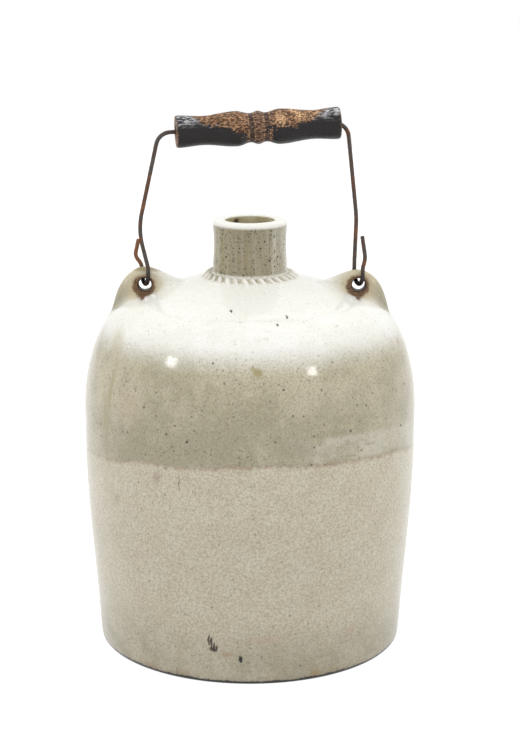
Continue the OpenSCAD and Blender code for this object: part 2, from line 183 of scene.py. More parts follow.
class Bench:
    """The few steps by which the meshes are made."""

    @staticmethod
    def clear() -> None:
        """Leave nothing selected."""
        active = bpy.context.view_layer.objects.active
        if active and active.mode != "OBJECT":
            bpy.ops.object.mode_set(mode="OBJECT")
        bpy.ops.object.select_all(action="DESELECT")

    @staticmethod
    def pick(piece: Piece) -> None:
        """Select one piece alone and make it active."""
        Bench.clear()
        piece.select_set(True)
        bpy.context.view_layer.objects.active = piece

    @staticmethod
    def points(piece: Piece) -> np.ndarray:
        """Read a piece's points, in millimetres, one a row."""
        co = np.empty(len(piece.data.vertices) * 3)
        piece.data.vertices.foreach_get("co", co)
        return co.reshape(-1, 3) / MM

    @staticmethod
    def lay(piece: Piece, points: np.ndarray) -> None:
        """Move a piece's points to the given places, in millimetres."""
        piece.data.vertices.foreach_set("co", (points * MM).ravel())
        piece.data.update()

    @staticmethod
    def lathe(name: str, outline: Outline, steps: int) -> Piece:
        """Draw an outline by extruding a point, and spin it once round the Z axis.

        Args:
            name: Name of the new piece.
            outline: Points (radius, height) in millimetres, closed or with both ends on the axis.
            steps: Sides of the turned form.

        Returns:
            The closed piece, its faces outwards.
        """
        Bench.clear()
        bpy.ops.mesh.primitive_plane_add(size=MM)
        piece = bpy.context.object
        piece.name = name
        bpy.ops.object.mode_set(mode="EDIT")
        bpy.ops.mesh.select_mode(type="VERT")
        bpy.ops.mesh.select_all(action="SELECT")
        bpy.ops.mesh.merge(type="CENTER")
        bpy.ops.transform.translate(value=(outline[0][0] * MM, 0, outline[0][1] * MM))
        for here, there in zip(outline, outline[1:]):
            move = ((there[0] - here[0]) * MM, 0, (there[1] - here[1]) * MM)
            bpy.ops.mesh.extrude_region_move(TRANSFORM_OT_translate={"value": move})
        bpy.ops.mesh.select_all(action="SELECT")
        bpy.ops.mesh.spin(steps=steps, angle=FULL_TURN, center=(0, 0, 0), axis=(0, 0, 1))
        Bench.close_up()
        return piece

    @staticmethod
    def close_up() -> None:
        """Merge doubles, close what is open, turn all faces outwards and leave edit mode."""
        bpy.ops.mesh.select_all(action="SELECT")
        bpy.ops.mesh.remove_doubles(threshold=1e-6)
        bpy.ops.mesh.fill_holes(sides=0)
        bpy.ops.mesh.select_all(action="SELECT")
        bpy.ops.mesh.normals_make_consistent(inside=False)
        bpy.ops.object.mode_set(mode="OBJECT")

    @staticmethod
    def cut(piece: Piece, tool: Piece) -> None:
        """Cut a tool's form out of a piece and throw the tool away.

        Args:
            piece: The piece.
            tool: The tool.
        """
        Bench.pick(piece)
        modifier = piece.modifiers.new("cut", "BOOLEAN")
        modifier.operation = "DIFFERENCE"
        modifier.solver = "EXACT"
        modifier.object = tool
        bpy.ops.object.modifier_apply(modifier=modifier.name)
        bpy.data.objects.remove(tool)

    @staticmethod
    def smooth(piece: Piece, degrees: float) -> None:
        """Shade a piece smooth, but for edges sharper than the given angle."""
        Bench.pick(piece)
        bpy.ops.object.shade_smooth_by_angle(angle=math.radians(degrees))

    @staticmethod
    def coat(piece: Piece, *materials: Material) -> None:
        """Give a piece the given materials and no others."""
        piece.data.materials.clear()
        for material in materials:
            piece.data.materials.append(material)

    @staticmethod
    def note(piece: Piece, name: str, values: np.ndarray) -> None:
        """Keep a value for each point of a piece, for its finish to read."""
        piece.data.attributes.new(name, "FLOAT", "POINT").data.foreach_set("value", values)

    @staticmethod
    def attach(piece: Piece, body: str, node: str, slot: str) -> None:
        """Let a piece ride on a body in place of a node.

        Args:
            piece: The finished piece.
            body: Body that it moves with.
            node: Node that it stands for.
            slot: Not used.
        """
        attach(piece, body)
        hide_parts(node)
        log.info("%s: %d points, %d faces", piece.name, len(piece.data.vertices), len(piece.data.polygons))


@dataclass(frozen=True)
class JugForm:
    """Sizes of the thrown jug, in millimetres and degrees, and the outline that they give."""

    belly_r: float = 92.0
    foot_r: float = 84.5
    lean_share: float = 0.73
    flank_h: float = 70.0
    band_h: float = 11.5
    foot_bevel: float = 1.5
    wall: float = 6.5
    floor_t: float = 8.0
    floor_round_r: float = 12.0
    seam_z: float = 116.0
    shoulder_r: float = 101.0
    shoulder_turn: float = 25.5
    corner_r: float = 33.5
    crown_slope: float = 16.5
    neck_r: float = 20.4
    neck_h: float = 29.9
    mouth_r: float = 13.6
    hole_rise: float = 6.0
    hole_r: float = 3.7
    bar_half: float = 2.2
    step: float = 1.8
    corner_step: float = 1.08

    @property
    def flank_top_r(self) -> float:
        """Radius at the top of the leaning part of the wall."""
        return self.foot_r + (self.belly_r - self.foot_r) * self.lean_share

    @property
    def lean(self) -> float:
        """Angle that the lower wall leans out by."""
        return math.degrees(math.atan((self.flank_top_r - self.foot_r) / self.flank_h))

    @property
    def flank_arc_r(self) -> float:
        """Radius of the arc from the leaning wall to the belly."""
        return (self.belly_r - self.flank_top_r) / (1 - math.cos(math.radians(self.lean)))

    @property
    def belly_z(self) -> float:
        """Height at which the belly is first reached."""
        return self.flank_h + self.flank_arc_r * math.sin(math.radians(self.lean))

    @property
    def band_z(self) -> float:
        """Height of the top of the upright band."""
        return self.belly_z + self.band_h

    @property
    def flank_centre(self) -> tuple[float, float]:
        """Middle of the arc of the lower wall."""
        return self.belly_r - self.flank_arc_r, self.belly_z

    @property
    def shoulder_centre(self) -> tuple[float, float]:
        """Middle of the arc of the upper wall."""
        return self.belly_r - self.shoulder_r, self.band_z

    @property
    def corner_centre(self) -> tuple[float, float]:
        """Middle of the rounded corner.

        Returns:
            The point.
        """
        turn = math.radians(self.shoulder_turn)
        reach = self.shoulder_r - self.corner_r
        x, z = self.shoulder_centre
        return x + reach * math.cos(turn), z + reach * math.sin(turn)

    @property
    def crown_edge(self) -> tuple[float, float]:
        """Point where the rounded corner meets the crown."""
        return self.outline_point(0)

    @property
    def mouth_z(self) -> float:
        """Height of the mouth."""
        return self.crown_z(self.neck_r) + self.neck_h

    @property
    def hole_z(self) -> float:
        """Height of the holes in the ears."""
        return self.crown_edge[1] + self.hole_rise

    @property
    def hinge_z(self) -> float:
        """Height of the line about which the bail swings."""
        return self.hole_z + self.hole_r + self.bar_half

    def crown_z(self, r: float) -> float:
        """Height of the crown at radius r."""
        edge = self.crown_edge
        return edge[1] + (edge[0] - r) * math.tan(math.radians(self.crown_slope))

    def outline_angle(self, s: float) -> float:
        """Angle of the outline's normal at run s from the crown's edge, outwards."""
        start = 90 - self.crown_slope
        return start if s <= 0 else start - math.degrees(s / self.corner_r)

    def outline_point(self, s: float) -> tuple[float, float]:
        """Find the point of the outline at a run from the crown's edge.

        Args:
            s: The run, outwards.

        Returns:
            The point.
        """
        a = math.radians(self.outline_angle(max(0.0, s)))
        x = self.corner_centre[0] + self.corner_r * math.cos(a)
        z = self.corner_centre[1] + self.corner_r * math.sin(a)
        return (x, z) if s > 0 else (x + s * math.sin(a), z - s * math.cos(a))

    def lower_wall(self, inset: float, top_z: float) -> Outline:
        """Outline the wall from the ground up to a height below the belly.

        Args:
            inset: How far it is drawn in.
            top_z: The height.

        Returns:
            The points.
        """
        lean = math.radians(self.lean)
        foot = (self.foot_r - inset / math.cos(lean), 0.0)
        flank_top = (self.flank_top_r - inset * math.cos(lean), self.flank_h + inset * math.sin(lean))
        arc_r = self.flank_arc_r - inset
        top = math.degrees(math.asin((top_z - self.belly_z) / arc_r))
        belly = arc(self.flank_centre, arc_r, -self.lean, top, self.step)
        return joined(line(foot, flank_top, self.step), belly)

    def upper_wall(self, inset: float, from_z: float) -> Outline:
        """Outline the wall from a height below the belly to the hole of the crown.

        Args:
            inset: How far it is drawn in.
            from_z: The height.

        Returns:
            The points.
        """
        arc_r = self.flank_arc_r - inset
        start = math.degrees(math.asin((from_z - self.belly_z) / arc_r))
        side = self.belly_r - inset
        turn, end = self.shoulder_turn, 90 - self.crown_slope
        corner = arc(self.corner_centre, self.corner_r - inset, turn, end, self.corner_step)
        edge = corner[-1]
        slope = math.tan(math.radians(self.crown_slope))
        inner = (self.mouth_r, edge[1] + (edge[0] - self.mouth_r) * slope)
        return joined(
            arc(self.flank_centre, arc_r, start, 0, self.step),
            line((side, self.belly_z), (side, self.band_z), self.step),
            arc(self.shoulder_centre, self.shoulder_r - inset, 0, turn, self.step),
            corner,
            line(edge, inner, self.step),
        )


class Graph:
    """Short calls that add nodes to a tree and join them."""

    def __init__(self, tree: bpy.types.NodeTree) -> None:
        """Work on the given tree."""
        self.tree = tree

    def feed(self, socket: Socket, value: Feed) -> None:
        """Link a socket, or set its value.

        Args:
            socket: The socket.
            value: Socket to link it with, or its value.
        """
        if isinstance(value, bpy.types.NodeSocket):
            self.tree.links.new(value, socket)
        else:
            socket.default_value = value

    def add(self, kind: str, feeds: Optional[Feeds] = None, **settings: Any) -> bpy.types.Node:
        """Add a node.

        Args:
            kind: Type of the node.
            feeds: What goes into its sockets.
            **settings: Its own settings.

        Returns:
            The node.
        """
        node = self.tree.nodes.new(kind)
        for key, value in settings.items():
            setattr(node, key, value)
        for key, value in (feeds or {}).items():
            self.feed(node.inputs[key], value)
        return node

    def math(self, operation: str, *values: Feed) -> Socket:
        """Calculate with one, two or three values."""
        return self.add("ShaderNodeMath", dict(enumerate(values)), operation=operation).outputs[0]

    def times(self, *values: Feed) -> Socket:
        """Multiply values, from the first to the last."""
        return reduce(lambda first, second: self.math("MULTIPLY", first, second), values)

    def most(self, *values: Feed) -> Socket:
        """Take the largest value."""
        return reduce(lambda first, second: self.math("MAXIMUM", first, second), values)

    def scaled(self, value: Feed, factor: Feed, base: Feed) -> Socket:
        """Add value times factor to a base."""
        return self.math("MULTIPLY_ADD", value, factor, base)

    def away(self, value: Feed, middle: float = 0.0) -> Socket:
        """Find how far a value is from a middle."""
        return self.math("ABSOLUTE", self.math("SUBTRACT", value, middle) if middle else value)

    def vector(self, operation: str, *values: Feed) -> Socket:
        """Calculate with vectors."""
        node = self.add("ShaderNodeVectorMath", dict(enumerate(values)), operation=operation)
        return node.outputs["Value" if operation == "LENGTH" else "Vector"]

    def mix(self, share: Feed, first: Feed, second: Feed) -> Socket:
        """Mix two colours."""
        return self.add("ShaderNodeMix", {0: share, 6: first, 7: second}, data_type="RGBA").outputs[2]

    def ramp(self, value: Feed, low: Feed, high: Feed, start: float = 0.0, end: float = 1.0) -> Socket:
        """Run softly from start to end while value runs from low to high."""
        feeds = {0: value, 1: low, 2: high, 3: start, 4: end}
        return self.add("ShaderNodeMapRange", feeds, interpolation_type="SMOOTHSTEP").outputs[0]

    def noise(self, place: Feed, scale: Feed, detail: float = 3.0, rough: float = 0.5) -> Socket:
        """Sample noise, from 0 to 1."""
        feeds = {"Vector": place, "Scale": scale, "Detail": detail, "Roughness": rough}
        return self.add("ShaderNodeTexNoise", feeds).outputs[0]


def srgb(red: float, green: float, blue: float) -> tuple[float, float, float, float]:
    """Turn a colour as seen on a screen, 0 to 255, into the shader's linear one."""
    parts = [c / 255 for c in (red, green, blue)]
    linear = [c / 12.92 if c <= 0.04045 else ((c + 0.055) / 1.055) ** 2.4 for c in parts]
    return linear[0], linear[1], linear[2], 1.0


class Effects:
    """Effects that several finishes share, each a node group built once."""

    def __init__(self) -> None:
        """Build the groups."""
        self.mottle = self._mottle()
        self.speckle = self._speckle()
        self.rust = self._rust()
        self.stain = self._stain()

    @staticmethod
    def _start(name: str, takes: dict[str, str], gives: dict[str, str]) -> tuple[Graph, Sockets, Sockets]:
        """Start a group.

        Args:
            name: Its name.
            takes: Names and kinds of its inputs.
            gives: Names and kinds of its outputs.

        Returns:
            Its graph, the sockets that it takes from and the sockets that it gives to.
        """
        tree = bpy.data.node_groups.new(name, "ShaderNodeTree")
        for way, sockets in (("INPUT", takes), ("OUTPUT", gives)):
            for title, kind in sockets.items():
                tree.interface.new_socket(title, in_out=way, socket_type="NodeSocket" + kind)
        return Graph(tree), tree.nodes.new("NodeGroupInput").outputs, tree.nodes.new("NodeGroupOutput").inputs

    def _mottle(self) -> bpy.types.NodeTree:
        """Build soft clouds with finer clouds in them.

        Returns:
            The group.
        """
        graph, taken, given = self._start("mottle", {"Place": "Vector", "Scale": "Float"}, {"Value": "Float"})
        broad = graph.noise(taken["Place"], taken["Scale"], 2.0, 0.5)
        shifted = graph.vector("ADD", taken["Place"], (3.1, 7.7, 1.3))
        finer = graph.noise(shifted, graph.times(taken["Scale"], 4.3), 4.0, 0.62)
        both = graph.scaled(finer, 0.4, graph.times(broad, 0.6))
        graph.feed(given["Value"], graph.ramp(both, 0.36, 0.64))
        return graph.tree

    def _speckle(self) -> bpy.types.NodeTree:
        """Build scattered small dots of many sizes.

        Returns:
            The group.
        """
        takes = {"Place": "Vector", "Scale": "Float", "Share": "Float", "Size": "Float"}
        graph, taken, given = self._start("speckle", takes, {"Mask": "Float"})
        feeds = {"Vector": taken["Place"], "Scale": taken["Scale"], "Randomness": 1.0}
        cells = graph.add("ShaderNodeTexVoronoi", feeds).outputs
        luck = graph.add("ShaderNodeSeparateColor", {0: cells["Color"]}).outputs
        chosen = graph.math("LESS_THAN", luck[0], taken["Share"])
        reach = graph.times(taken["Size"], graph.scaled(luck[1], 0.75, 0.25))
        dot = graph.ramp(graph.math("DIVIDE", cells["Distance"], reach), 1.0, 0.55)
        strength = graph.scaled(luck[2], 0.6, 0.4)
        graph.feed(given["Mask"], graph.times(chosen, graph.times(dot, strength)))
        return graph.tree

    def _rust(self) -> bpy.types.NodeTree:
        """Build rust: its colour, where it lies and how it pits.

        Returns:
            The group.
        """
        gives = {"Color": "Color", "Mask": "Float", "Pits": "Float"}
        graph, taken, given = self._start("rust", {"Place": "Vector", "Scale": "Float"}, gives)
        broad = graph.noise(taken["Place"], taken["Scale"], 4.0, 0.6)
        fine = graph.noise(taken["Place"], graph.times(taken["Scale"], 6.0), 5.0, 0.7)
        dark = graph.mix(graph.ramp(fine, 0.35, 0.65), srgb(62, 38, 24), srgb(116, 68, 36))
        graph.feed(given["Color"], graph.mix(graph.ramp(broad, 0.5, 0.72), dark, srgb(150, 92, 50)))
        graph.feed(given["Mask"], graph.ramp(broad, 0.4, 0.62))
        graph.feed(given["Pits"], fine)
        return graph.tree

    def _stain(self) -> bpy.types.NodeTree:
        """Build one soft-edged spot with a middle and a reach along each axis.

        Returns:
            The group.
        """
        takes = {"Place": "Vector", "Middle": "Vector", "Reach": "Vector", "Soft": "Float"}
        graph, taken, given = self._start("stain", takes, {"Mask": "Float"})
        away = graph.vector("SUBTRACT", taken["Place"], taken["Middle"])
        share = graph.vector("LENGTH", graph.vector("DIVIDE", away, taken["Reach"]))
        edge = graph.math("SUBTRACT", 1.0, taken["Soft"])
        graph.feed(given["Mask"], graph.ramp(share, 1.0, edge))
        return graph.tree


class Finish(Graph):
    """One material in the making, with its shader, the place on its piece and the shared effects."""

    def __init__(self, name: str, effects: Effects, own_place: bool = False) -> None:
        """Start the material.

        Args:
            name: Its name.
            effects: The shared node groups.
            own_place: Whether it reads the place on the piece, and not the one on the jug.
        """
        self.material = bpy.data.materials.new(name)
        self.material.use_nodes = True
        super().__init__(self.material.node_tree)
        self.shader = self.tree.nodes["Principled BSDF"].inputs
        self.effects = effects
        self.place = self.attribute("own_place", "Vector") if own_place else self._object_place()

    def _object_place(self) -> Socket:
        """Read the place on the jug."""
        return self.add("ShaderNodeTexCoord").outputs["Object"]

    @cached_property
    def axes(self) -> Sockets:
        """The three parts of the place."""
        return self.add("ShaderNodeSeparateXYZ", {0: self.place}).outputs

    def attribute(self, name: str, output: str = "Fac") -> Socket:
        """Read an attribute of the piece."""
        return self.add("ShaderNodeAttribute", attribute_name=name).outputs[output]

    def moved(self, *shift: float) -> Socket:
        """Shift the place, for another draw of the same effect."""
        return self.vector("ADD", self.place, shift)

    def drawn(self, share: float) -> Socket:
        """Draw a pattern out along Z, to 1 / share of its length."""
        return self.vector("MULTIPLY", self.place, (1.0, 1.0, share))

    def pushed(self, scale: float, reach: float) -> Socket:
        """Push the place about.

        Args:
            scale: Scale of the noise.
            reach: Twice the largest push, in millimetres.

        Returns:
            The pushed place.
        """
        feeds = {"Vector": self.place, "Scale": scale, "Detail": 3.0}
        nudge = self.add("ShaderNodeTexNoise", feeds).outputs["Color"]
        nudge = self.vector("SCALE", self.vector("SUBTRACT", nudge, (0.5, 0.5, 0.5)))
        nudge.node.inputs["Scale"].default_value = reach * MM
        return self.vector("ADD", self.place, nudge)

    def over(self, share: Feed, colour: Feed, coat: Tint) -> Socket:
        """Lay a share of a coat over a colour."""
        return self.mix(share, colour, srgb(*coat))

    def mottle(self, size: float, place: Optional[Feed] = None) -> Socket:
        """Clouds of about the given size in millimetres."""
        feeds = {"Place": self.place if place is None else place, "Scale": 1 / (size * MM)}
        return self.add("ShaderNodeGroup", feeds, node_tree=self.effects.mottle).outputs[0]

    def speckle(self, apart: float, share: float, size: float, place: Optional[Feed] = None) -> Socket:
        """Scatter dots.

        Args:
            apart: Width of a cell, in millimetres.
            share: Share of the cells that hold a dot.
            size: Radius of the largest dots, in millimetres.
            place: Coordinates, if they aren't the piece's.

        Returns:
            The mask.
        """
        feeds = {
            "Place": self.place if place is None else place,
            "Scale": 1 / (apart * MM),
            "Share": share,
            "Size": size / apart,
        }
        return self.add("ShaderNodeGroup", feeds, node_tree=self.effects.speckle).outputs[0]

    def rust(self, size: float) -> Sockets:
        """Rust with patches of about the given size in millimetres."""
        feeds = {"Place": self.place, "Scale": 1 / (size * MM)}
        return self.add("ShaderNodeGroup", feeds, node_tree=self.effects.rust).outputs

    def stain(self, middle: Triple, reach: Triple, soft: float, place: Optional[Feed] = None) -> Socket:
        """Place one spot.

        Args:
            middle: Its middle, in millimetres.
            reach: Its reach along each axis, in millimetres.
            soft: Share of the reach over which it fades.
            place: Coordinates, if they aren't the piece's.

        Returns:
            The mask.
        """
        feeds = {
            "Place": self.place if place is None else place,
            "Middle": [v * MM for v in middle],
            "Reach": [v * MM for v in reach],
            "Soft": soft,
        }
        return self.add("ShaderNodeGroup", feeds, node_tree=self.effects.stain).outputs[0]

    def band(self, value: Feed, rise: tuple[float, float], fall: tuple[float, float]) -> Socket:
        """Mark where a value in metres lies between a rise and a fall.

        Args:
            value: The value.
            rise: Where the mark starts and is full, in millimetres.
            fall: Where it ends and is still full, in millimetres.

        Returns:
            The mask.
        """
        return self.times(
            self.ramp(value, rise[0] * MM, rise[1] * MM),
            self.ramp(value, fall[0] * MM, fall[1] * MM),
        )

    def done(self, colour: Feed, rough: Feed, height: Feed) -> Material:
        """Feed the shader.

        Args:
            colour: Base colour.
            rough: Roughness.
            height: Relief, in millimetres.

        Returns:
            The material.
        """
        self.feed(self.shader["Base Color"], colour)
        self.feed(self.shader["Roughness"], rough)
        bump = self.add("ShaderNodeBump", {"Height": height})
        bump.inputs["Distance"].default_value = MM
        self.feed(self.shader["Normal"], bump.outputs["Normal"])
        return self.material


@dataclass(frozen=True)
class Spot:
    """A mark on the glaze: middle and reach in millimetres, colour on a screen, strength and softness."""

    middle: Triple
    reach: Triple
    colour: Tint
    strength: float = 1.0
    soft: float = 0.5


MARKS = (
    Spot((4.1, -84.6, 171.0), (3.4, 12, 3.0), (150, 136, 84), 0.75, 0.6),
    Spot((1.6, -84.0, 172.6), (2.0, 12, 1.6), (152, 138, 88), 0.55, 0.6),
    Spot((-9.9, -53.5, 196.6), (1.0, 6, 0.7), (52, 48, 42), 0.9, 0.4),
    Spot((19.2, -58.5, 194.5), (0.8, 6, 0.8), (70, 62, 52), 0.9, 0.4),
    Spot((13.9, -66.2, 192.0), (0.9, 6, 0.5), (64, 56, 48), 0.85, 0.4),
    Spot((80.9, -43.8, 132.1), (0.8, 4, 0.8), (48, 42, 34), 0.9, 0.4),
    Spot((-48.9, -77.8, 113.5), (3.8, 10, 4.6), (158, 132, 118), 0.5, 0.9),
    Spot((-36.7, -84.2, 112.3), (0.28, 6, 7.2), (92, 72, 50), 0.75, 0.5),
    Spot((-70.9, -57.7, 95.2), (2.4, 8, 5.2), (160, 154, 128), 0.5, 0.8),
    Spot((-72.6, -55.6, 106.0), (0.9, 5, 12.0), (166, 156, 126), 0.4, 0.9),
    Spot((-21.6, -83.7, 25.4), (0.7, 6, 4.4), (44, 20, 8), 0.9, 0.6),
    Spot((-20.4, -83.8, 23.2), (0.8, 6, 4.6), (30, 13, 5), 0.95, 0.5),
    Spot((-18.9, -84.0, 21.4), (0.8, 6, 3.8), (40, 18, 7), 0.95, 0.6),
    Spot((-17.8, -84.2, 20.2), (0.7, 6, 2.6), (52, 26, 12), 0.9, 0.6),
    Spot((-19.8, -83.9, 19.9), (2.2, 6, 1.9), (28, 12, 5), 0.85, 0.6),
    Spot((-12.0, -84.9, 17.4), (5.6, 8, 2.2), (172, 138, 112), 0.6, 0.9),
    Spot((-5.2, -85.5, 15.1), (1.2, 5, 2.3), (16, 8, 3), 1.0, 0.5),
    Spot((52.3, -75.6, 124.2), (5.4, 8, 1.3), (150, 138, 110), 0.5, 0.7),
    Spot((63.2, -66.8, 128.6), (6.6, 8, 1.2), (152, 141, 112), 0.45, 0.7),
    Spot((77.0, -51.0, 120.0), (6.0, 10, 1.5), (158, 140, 112), 0.45, 0.7),
    Spot((34.8, -77.1, 3.2), (4.6, 10, 4.0), (160, 132, 86), 0.65, 0.9),
    Spot((-52.0, -66.0, 3.0), (7.0, 12, 2.6), (150, 128, 92), 0.5, 0.9),
    Spot((53.7, -67.7, 25.0), (5.0, 10, 3.2), (188, 160, 136), 0.4, 0.9),
    Spot((7.9, -86.2, 26.0), (16.0, 14, 4.0), (192, 168, 146), 0.35, 0.9),
    Spot((79.9, -24.9, 174.0), (1.6, 6, 4.2), (140, 116, 88), 0.45, 0.8),
    Spot((-70.1, -41.4, 176.0), (6.0, 20, 16.0), (172, 162, 124), 0.4, 0.9),
    Spot((-62.0, -62.0, 148.0), (9.0, 16, 14.0), (186, 166, 142), 0.4, 0.9),
    Spot((28.0, 80.0, 60.0), (10.0, 16, 7.0), (188, 164, 140), 0.35, 0.9),
    Spot((-44.0, 74.0, 34.0), (2.0, 10, 3.2), (70, 50, 34), 0.8, 0.5),
    Spot((60.0, 62.0, 141.0), (3.2, 12, 2.6), (150, 138, 92), 0.6, 0.6),
)


@dataclass(frozen=True)
class GlazeFinish:
    """Glaze of the clay pieces: a grey upper coat over a paler lower one, with specks, runs and stains."""

    form: JugForm
    hole_reaches: tuple[float, float]
    upper: Tint = (193, 185, 160)
    upper_grey: Tint = (170, 163, 137)
    # Painted highlight: the crown's pale colours stand in for the overhead light on it.
    crown: Tint = (233, 233, 228)
    crown_grey: Tint = (225, 224, 215)
    crown_highlight_from: float = 167.0
    crown_highlight_to: float = 184.0
    crown_top: float = 194.5
    # The ears keep the upper coat's colour, out of the crown's painted highlight; the grey below is painted
    # shade on their outer flanks.
    ear: Tint = (190, 180, 152)
    ear_grey: Tint = (160, 154, 130)
    lower: Tint = (214, 207, 186)
    lower_warm: Tint = (204, 192, 168)
    # Painted shade: the grey that the lower coat turns towards the foot.
    lower_shade_grey: Tint = (160, 153, 130)
    foot_shade_from: float = 42.0
    foot_shade_full: float = 6.0
    grain: Tint = (128, 118, 92)
    fleck: Tint = (80, 70, 46)
    dark_fleck: Tint = (40, 30, 16)
    rim_stain: Tint = (158, 132, 106)
    run: Tint = (158, 148, 108)
    foot_stain: Tint = (166, 140, 104)
    # Partly bare clay, partly a painted contact shadow where the foot meets the floor.
    foot_line_and_shadow: Tint = (14, 9, 5)
    # Rust inside the holes, with painted shade there too.
    hole_rust_and_shade: Tint = (22, 11, 5)
    rust_dark: Tint = (46, 25, 8)
    rust_light: Tint = (126, 80, 30)
    halo: Tint = (172, 148, 98)
    collar: Tint = (137, 127, 98)
    # Painted highlight on the lip's glossy top.
    lip: Tint = (234, 233, 226)
    # Painted shade in the pits of the tool marks.
    pressed: Tint = (158, 148, 120)
    olive: Tint = (140, 130, 88)
    pale: Tint = (216, 212, 198)
    dip_z: float = 110.2
    dip_back: float = -0.136
    dip_side: float = 0.015
    dip_wave: float = 5.0
    dip_ripple: float = 1.6
    ring_gap: float = 7.5
    roughness: float = 0.2
    ior: float = 1.5

    def build(self, effects: Effects) -> Material:
        """Build the material.

        Args:
            effects: The shared node groups.

        Returns:
            The material.
        """
        glaze = Finish("pale_glaze", effects)
        height = self._over_dip(glaze)
        above = glaze.ramp(height, -1.0 * MM, 1.0 * MM)
        colour = self._dip_stain(glaze, height, self._coats(glaze, above))
        colour, flecks = self._flecks(glaze, above, colour)
        colour = self._marks(glaze, self._collar(glaze, self._runs(glaze, colour)))
        colour, stained = self._hole_rust(glaze, colour)
        rough = glaze.scaled(above, -0.1, glaze.scaled(glaze.mottle(16), 0.06, self.roughness))
        rough = glaze.scaled(flecks, 0.2, glaze.scaled(stained, 0.4, rough))
        glaze.shader["IOR"].default_value = self.ior
        relief = self._relief(glaze, above, flecks)
        return glaze.done(self._foot(glaze, colour), glaze.math("MINIMUM", rough, 0.8), relief)

    def _over_dip(self, glaze: Finish) -> Socket:
        """Find the height over the line to which the jug was dipped.

        Args:
            glaze: The material.

        Returns:
            The height in metres.
        """
        level = glaze.scaled(glaze.axes[1], self.dip_back, self.dip_z * MM)
        level = glaze.scaled(glaze.axes[0], self.dip_side, level)
        wave = glaze.math("SUBTRACT", glaze.noise(glaze.place, 26.0, 2.0), 0.5)
        ripple = glaze.math("SUBTRACT", glaze.noise(glaze.place, 210.0, 4.0, 0.6), 0.5)
        level = glaze.scaled(wave, self.dip_wave * MM, glaze.scaled(ripple, self.dip_ripple * MM, level))
        return glaze.math("SUBTRACT", glaze.axes[2], level)

    def _coats(self, glaze: Finish, above: Socket) -> Socket:
        """Mix both coats and their clouds: the upper one painted pale on the crown as a highlight, the lower
        one painted grey at its foot as shade.

        Args:
            glaze: The material.
            above: Mask of the upper coat.

        Returns:
            The colour.
        """
        cloud = glaze.mottle(34)
        blotch = glaze.mottle(12, glaze.moved(0.4, 0.1, 0.7))
        upper = glaze.over(cloud, srgb(*self.upper), self.upper_grey)
        lower = glaze.over(glaze.times(blotch, 0.55), srgb(*self.lower), self.lower_warm)
        # Painted highlight: the crown is painted paler than the upper coat.
        crown = glaze.ramp(glaze.axes[2], self.crown_highlight_from * MM, self.crown_highlight_to * MM)
        greyer = glaze.ramp(glaze.axes[2], (self.crown_top - 5) * MM, (self.crown_top + 3) * MM, 0.0, 0.7)
        pale = glaze.over(glaze.most(greyer, cloud), srgb(*self.crown), self.crown_grey)
        upper = glaze.mix(crown, upper, pale)
        feeds = {0: glaze.away(glaze.axes[0]), 1: glaze.axes[1], 2: glaze.axes[2]}
        across = glaze.add("ShaderNodeCombineXYZ", feeds).outputs[0]
        # The ears are held to the upper coat's colour, outside the crown's painted highlight.
        ear = glaze.stain((61, 0, 200), (20, 14, 14), 0.5, across)
        upper = glaze.mix(ear, upper, glaze.over(cloud, srgb(*self.ear), self.upper))
        # Painted shade on the outer flanks of both ears.
        flank_shade = glaze.stain((72, 0, 190), (10, 13, 19), 0.7, across)
        upper = glaze.over(glaze.times(flank_shade, 0.85), upper, self.ear_grey)
        # Painted shade: the lower coat greys towards the foot.
        worn = glaze.ramp(glaze.axes[2], self.foot_shade_from * MM, self.foot_shade_full * MM)
        lower = glaze.over(glaze.times(worn, glaze.ramp(cloud, 0.0, 1.0, 0.35, 0.75)), lower, self.lower_shade_grey)
        grain = glaze.ramp(glaze.noise(glaze.place, 900.0, 4.0, 0.75), 0.4, 0.62, 0.0, 0.44)
        # Less grain under the crown's painted highlight.
        grain = glaze.times(grain, glaze.ramp(crown, 0.0, 1.0, 1.0, 0.25))
        return glaze.over(grain, glaze.mix(above, lower, upper), self.grain)

    def _dip_stain(self, glaze: Finish, height: Socket, colour: Socket) -> Socket:
        """Lay the brownish edge along the dip line, and the paler streak over it at the right.

        Args:
            glaze: The material.
            height: Height over the dip line.
            colour: Colour so far.

        Returns:
            The colour.
        """
        rim = glaze.band(height, (-2.4, -0.3), (1.4, -0.2))
        broken = glaze.ramp(glaze.mottle(3.5), 0.2, 0.9, 0.1, 0.6)
        colour = glaze.over(glaze.times(rim, broken), colour, self.rim_stain)
        streak = glaze.band(height, (0.5, 3), (16, 13.4))
        right = glaze.ramp(glaze.axes[0], 12 * MM, 40 * MM)
        patchy = glaze.ramp(glaze.mottle(14), 0.2, 0.9, 0.12, 0.42)
        return glaze.over(glaze.times(streak, right, patchy), colour, self.pale)

    def _flecks(self, glaze: Finish, above: Socket, colour: Socket) -> tuple[Socket, Socket]:
        """Scatter fine flecks and a few dark ones, more of them in the upper coat below the crown.

        Args:
            glaze: The material.
            above: Mask of the upper coat.
            colour: Colour so far.

        Returns:
            The colour, and the mask of the larger flecks.
        """
        fine = glaze.speckle(1.5, 0.8, 0.6)
        middle = glaze.speckle(2.9, 0.7, 0.85, glaze.moved(0.2, 0.3, 0.1))
        dark = glaze.speckle(5.0, 0.6, 1.05, glaze.moved(0.7, 0.1, 0.5))
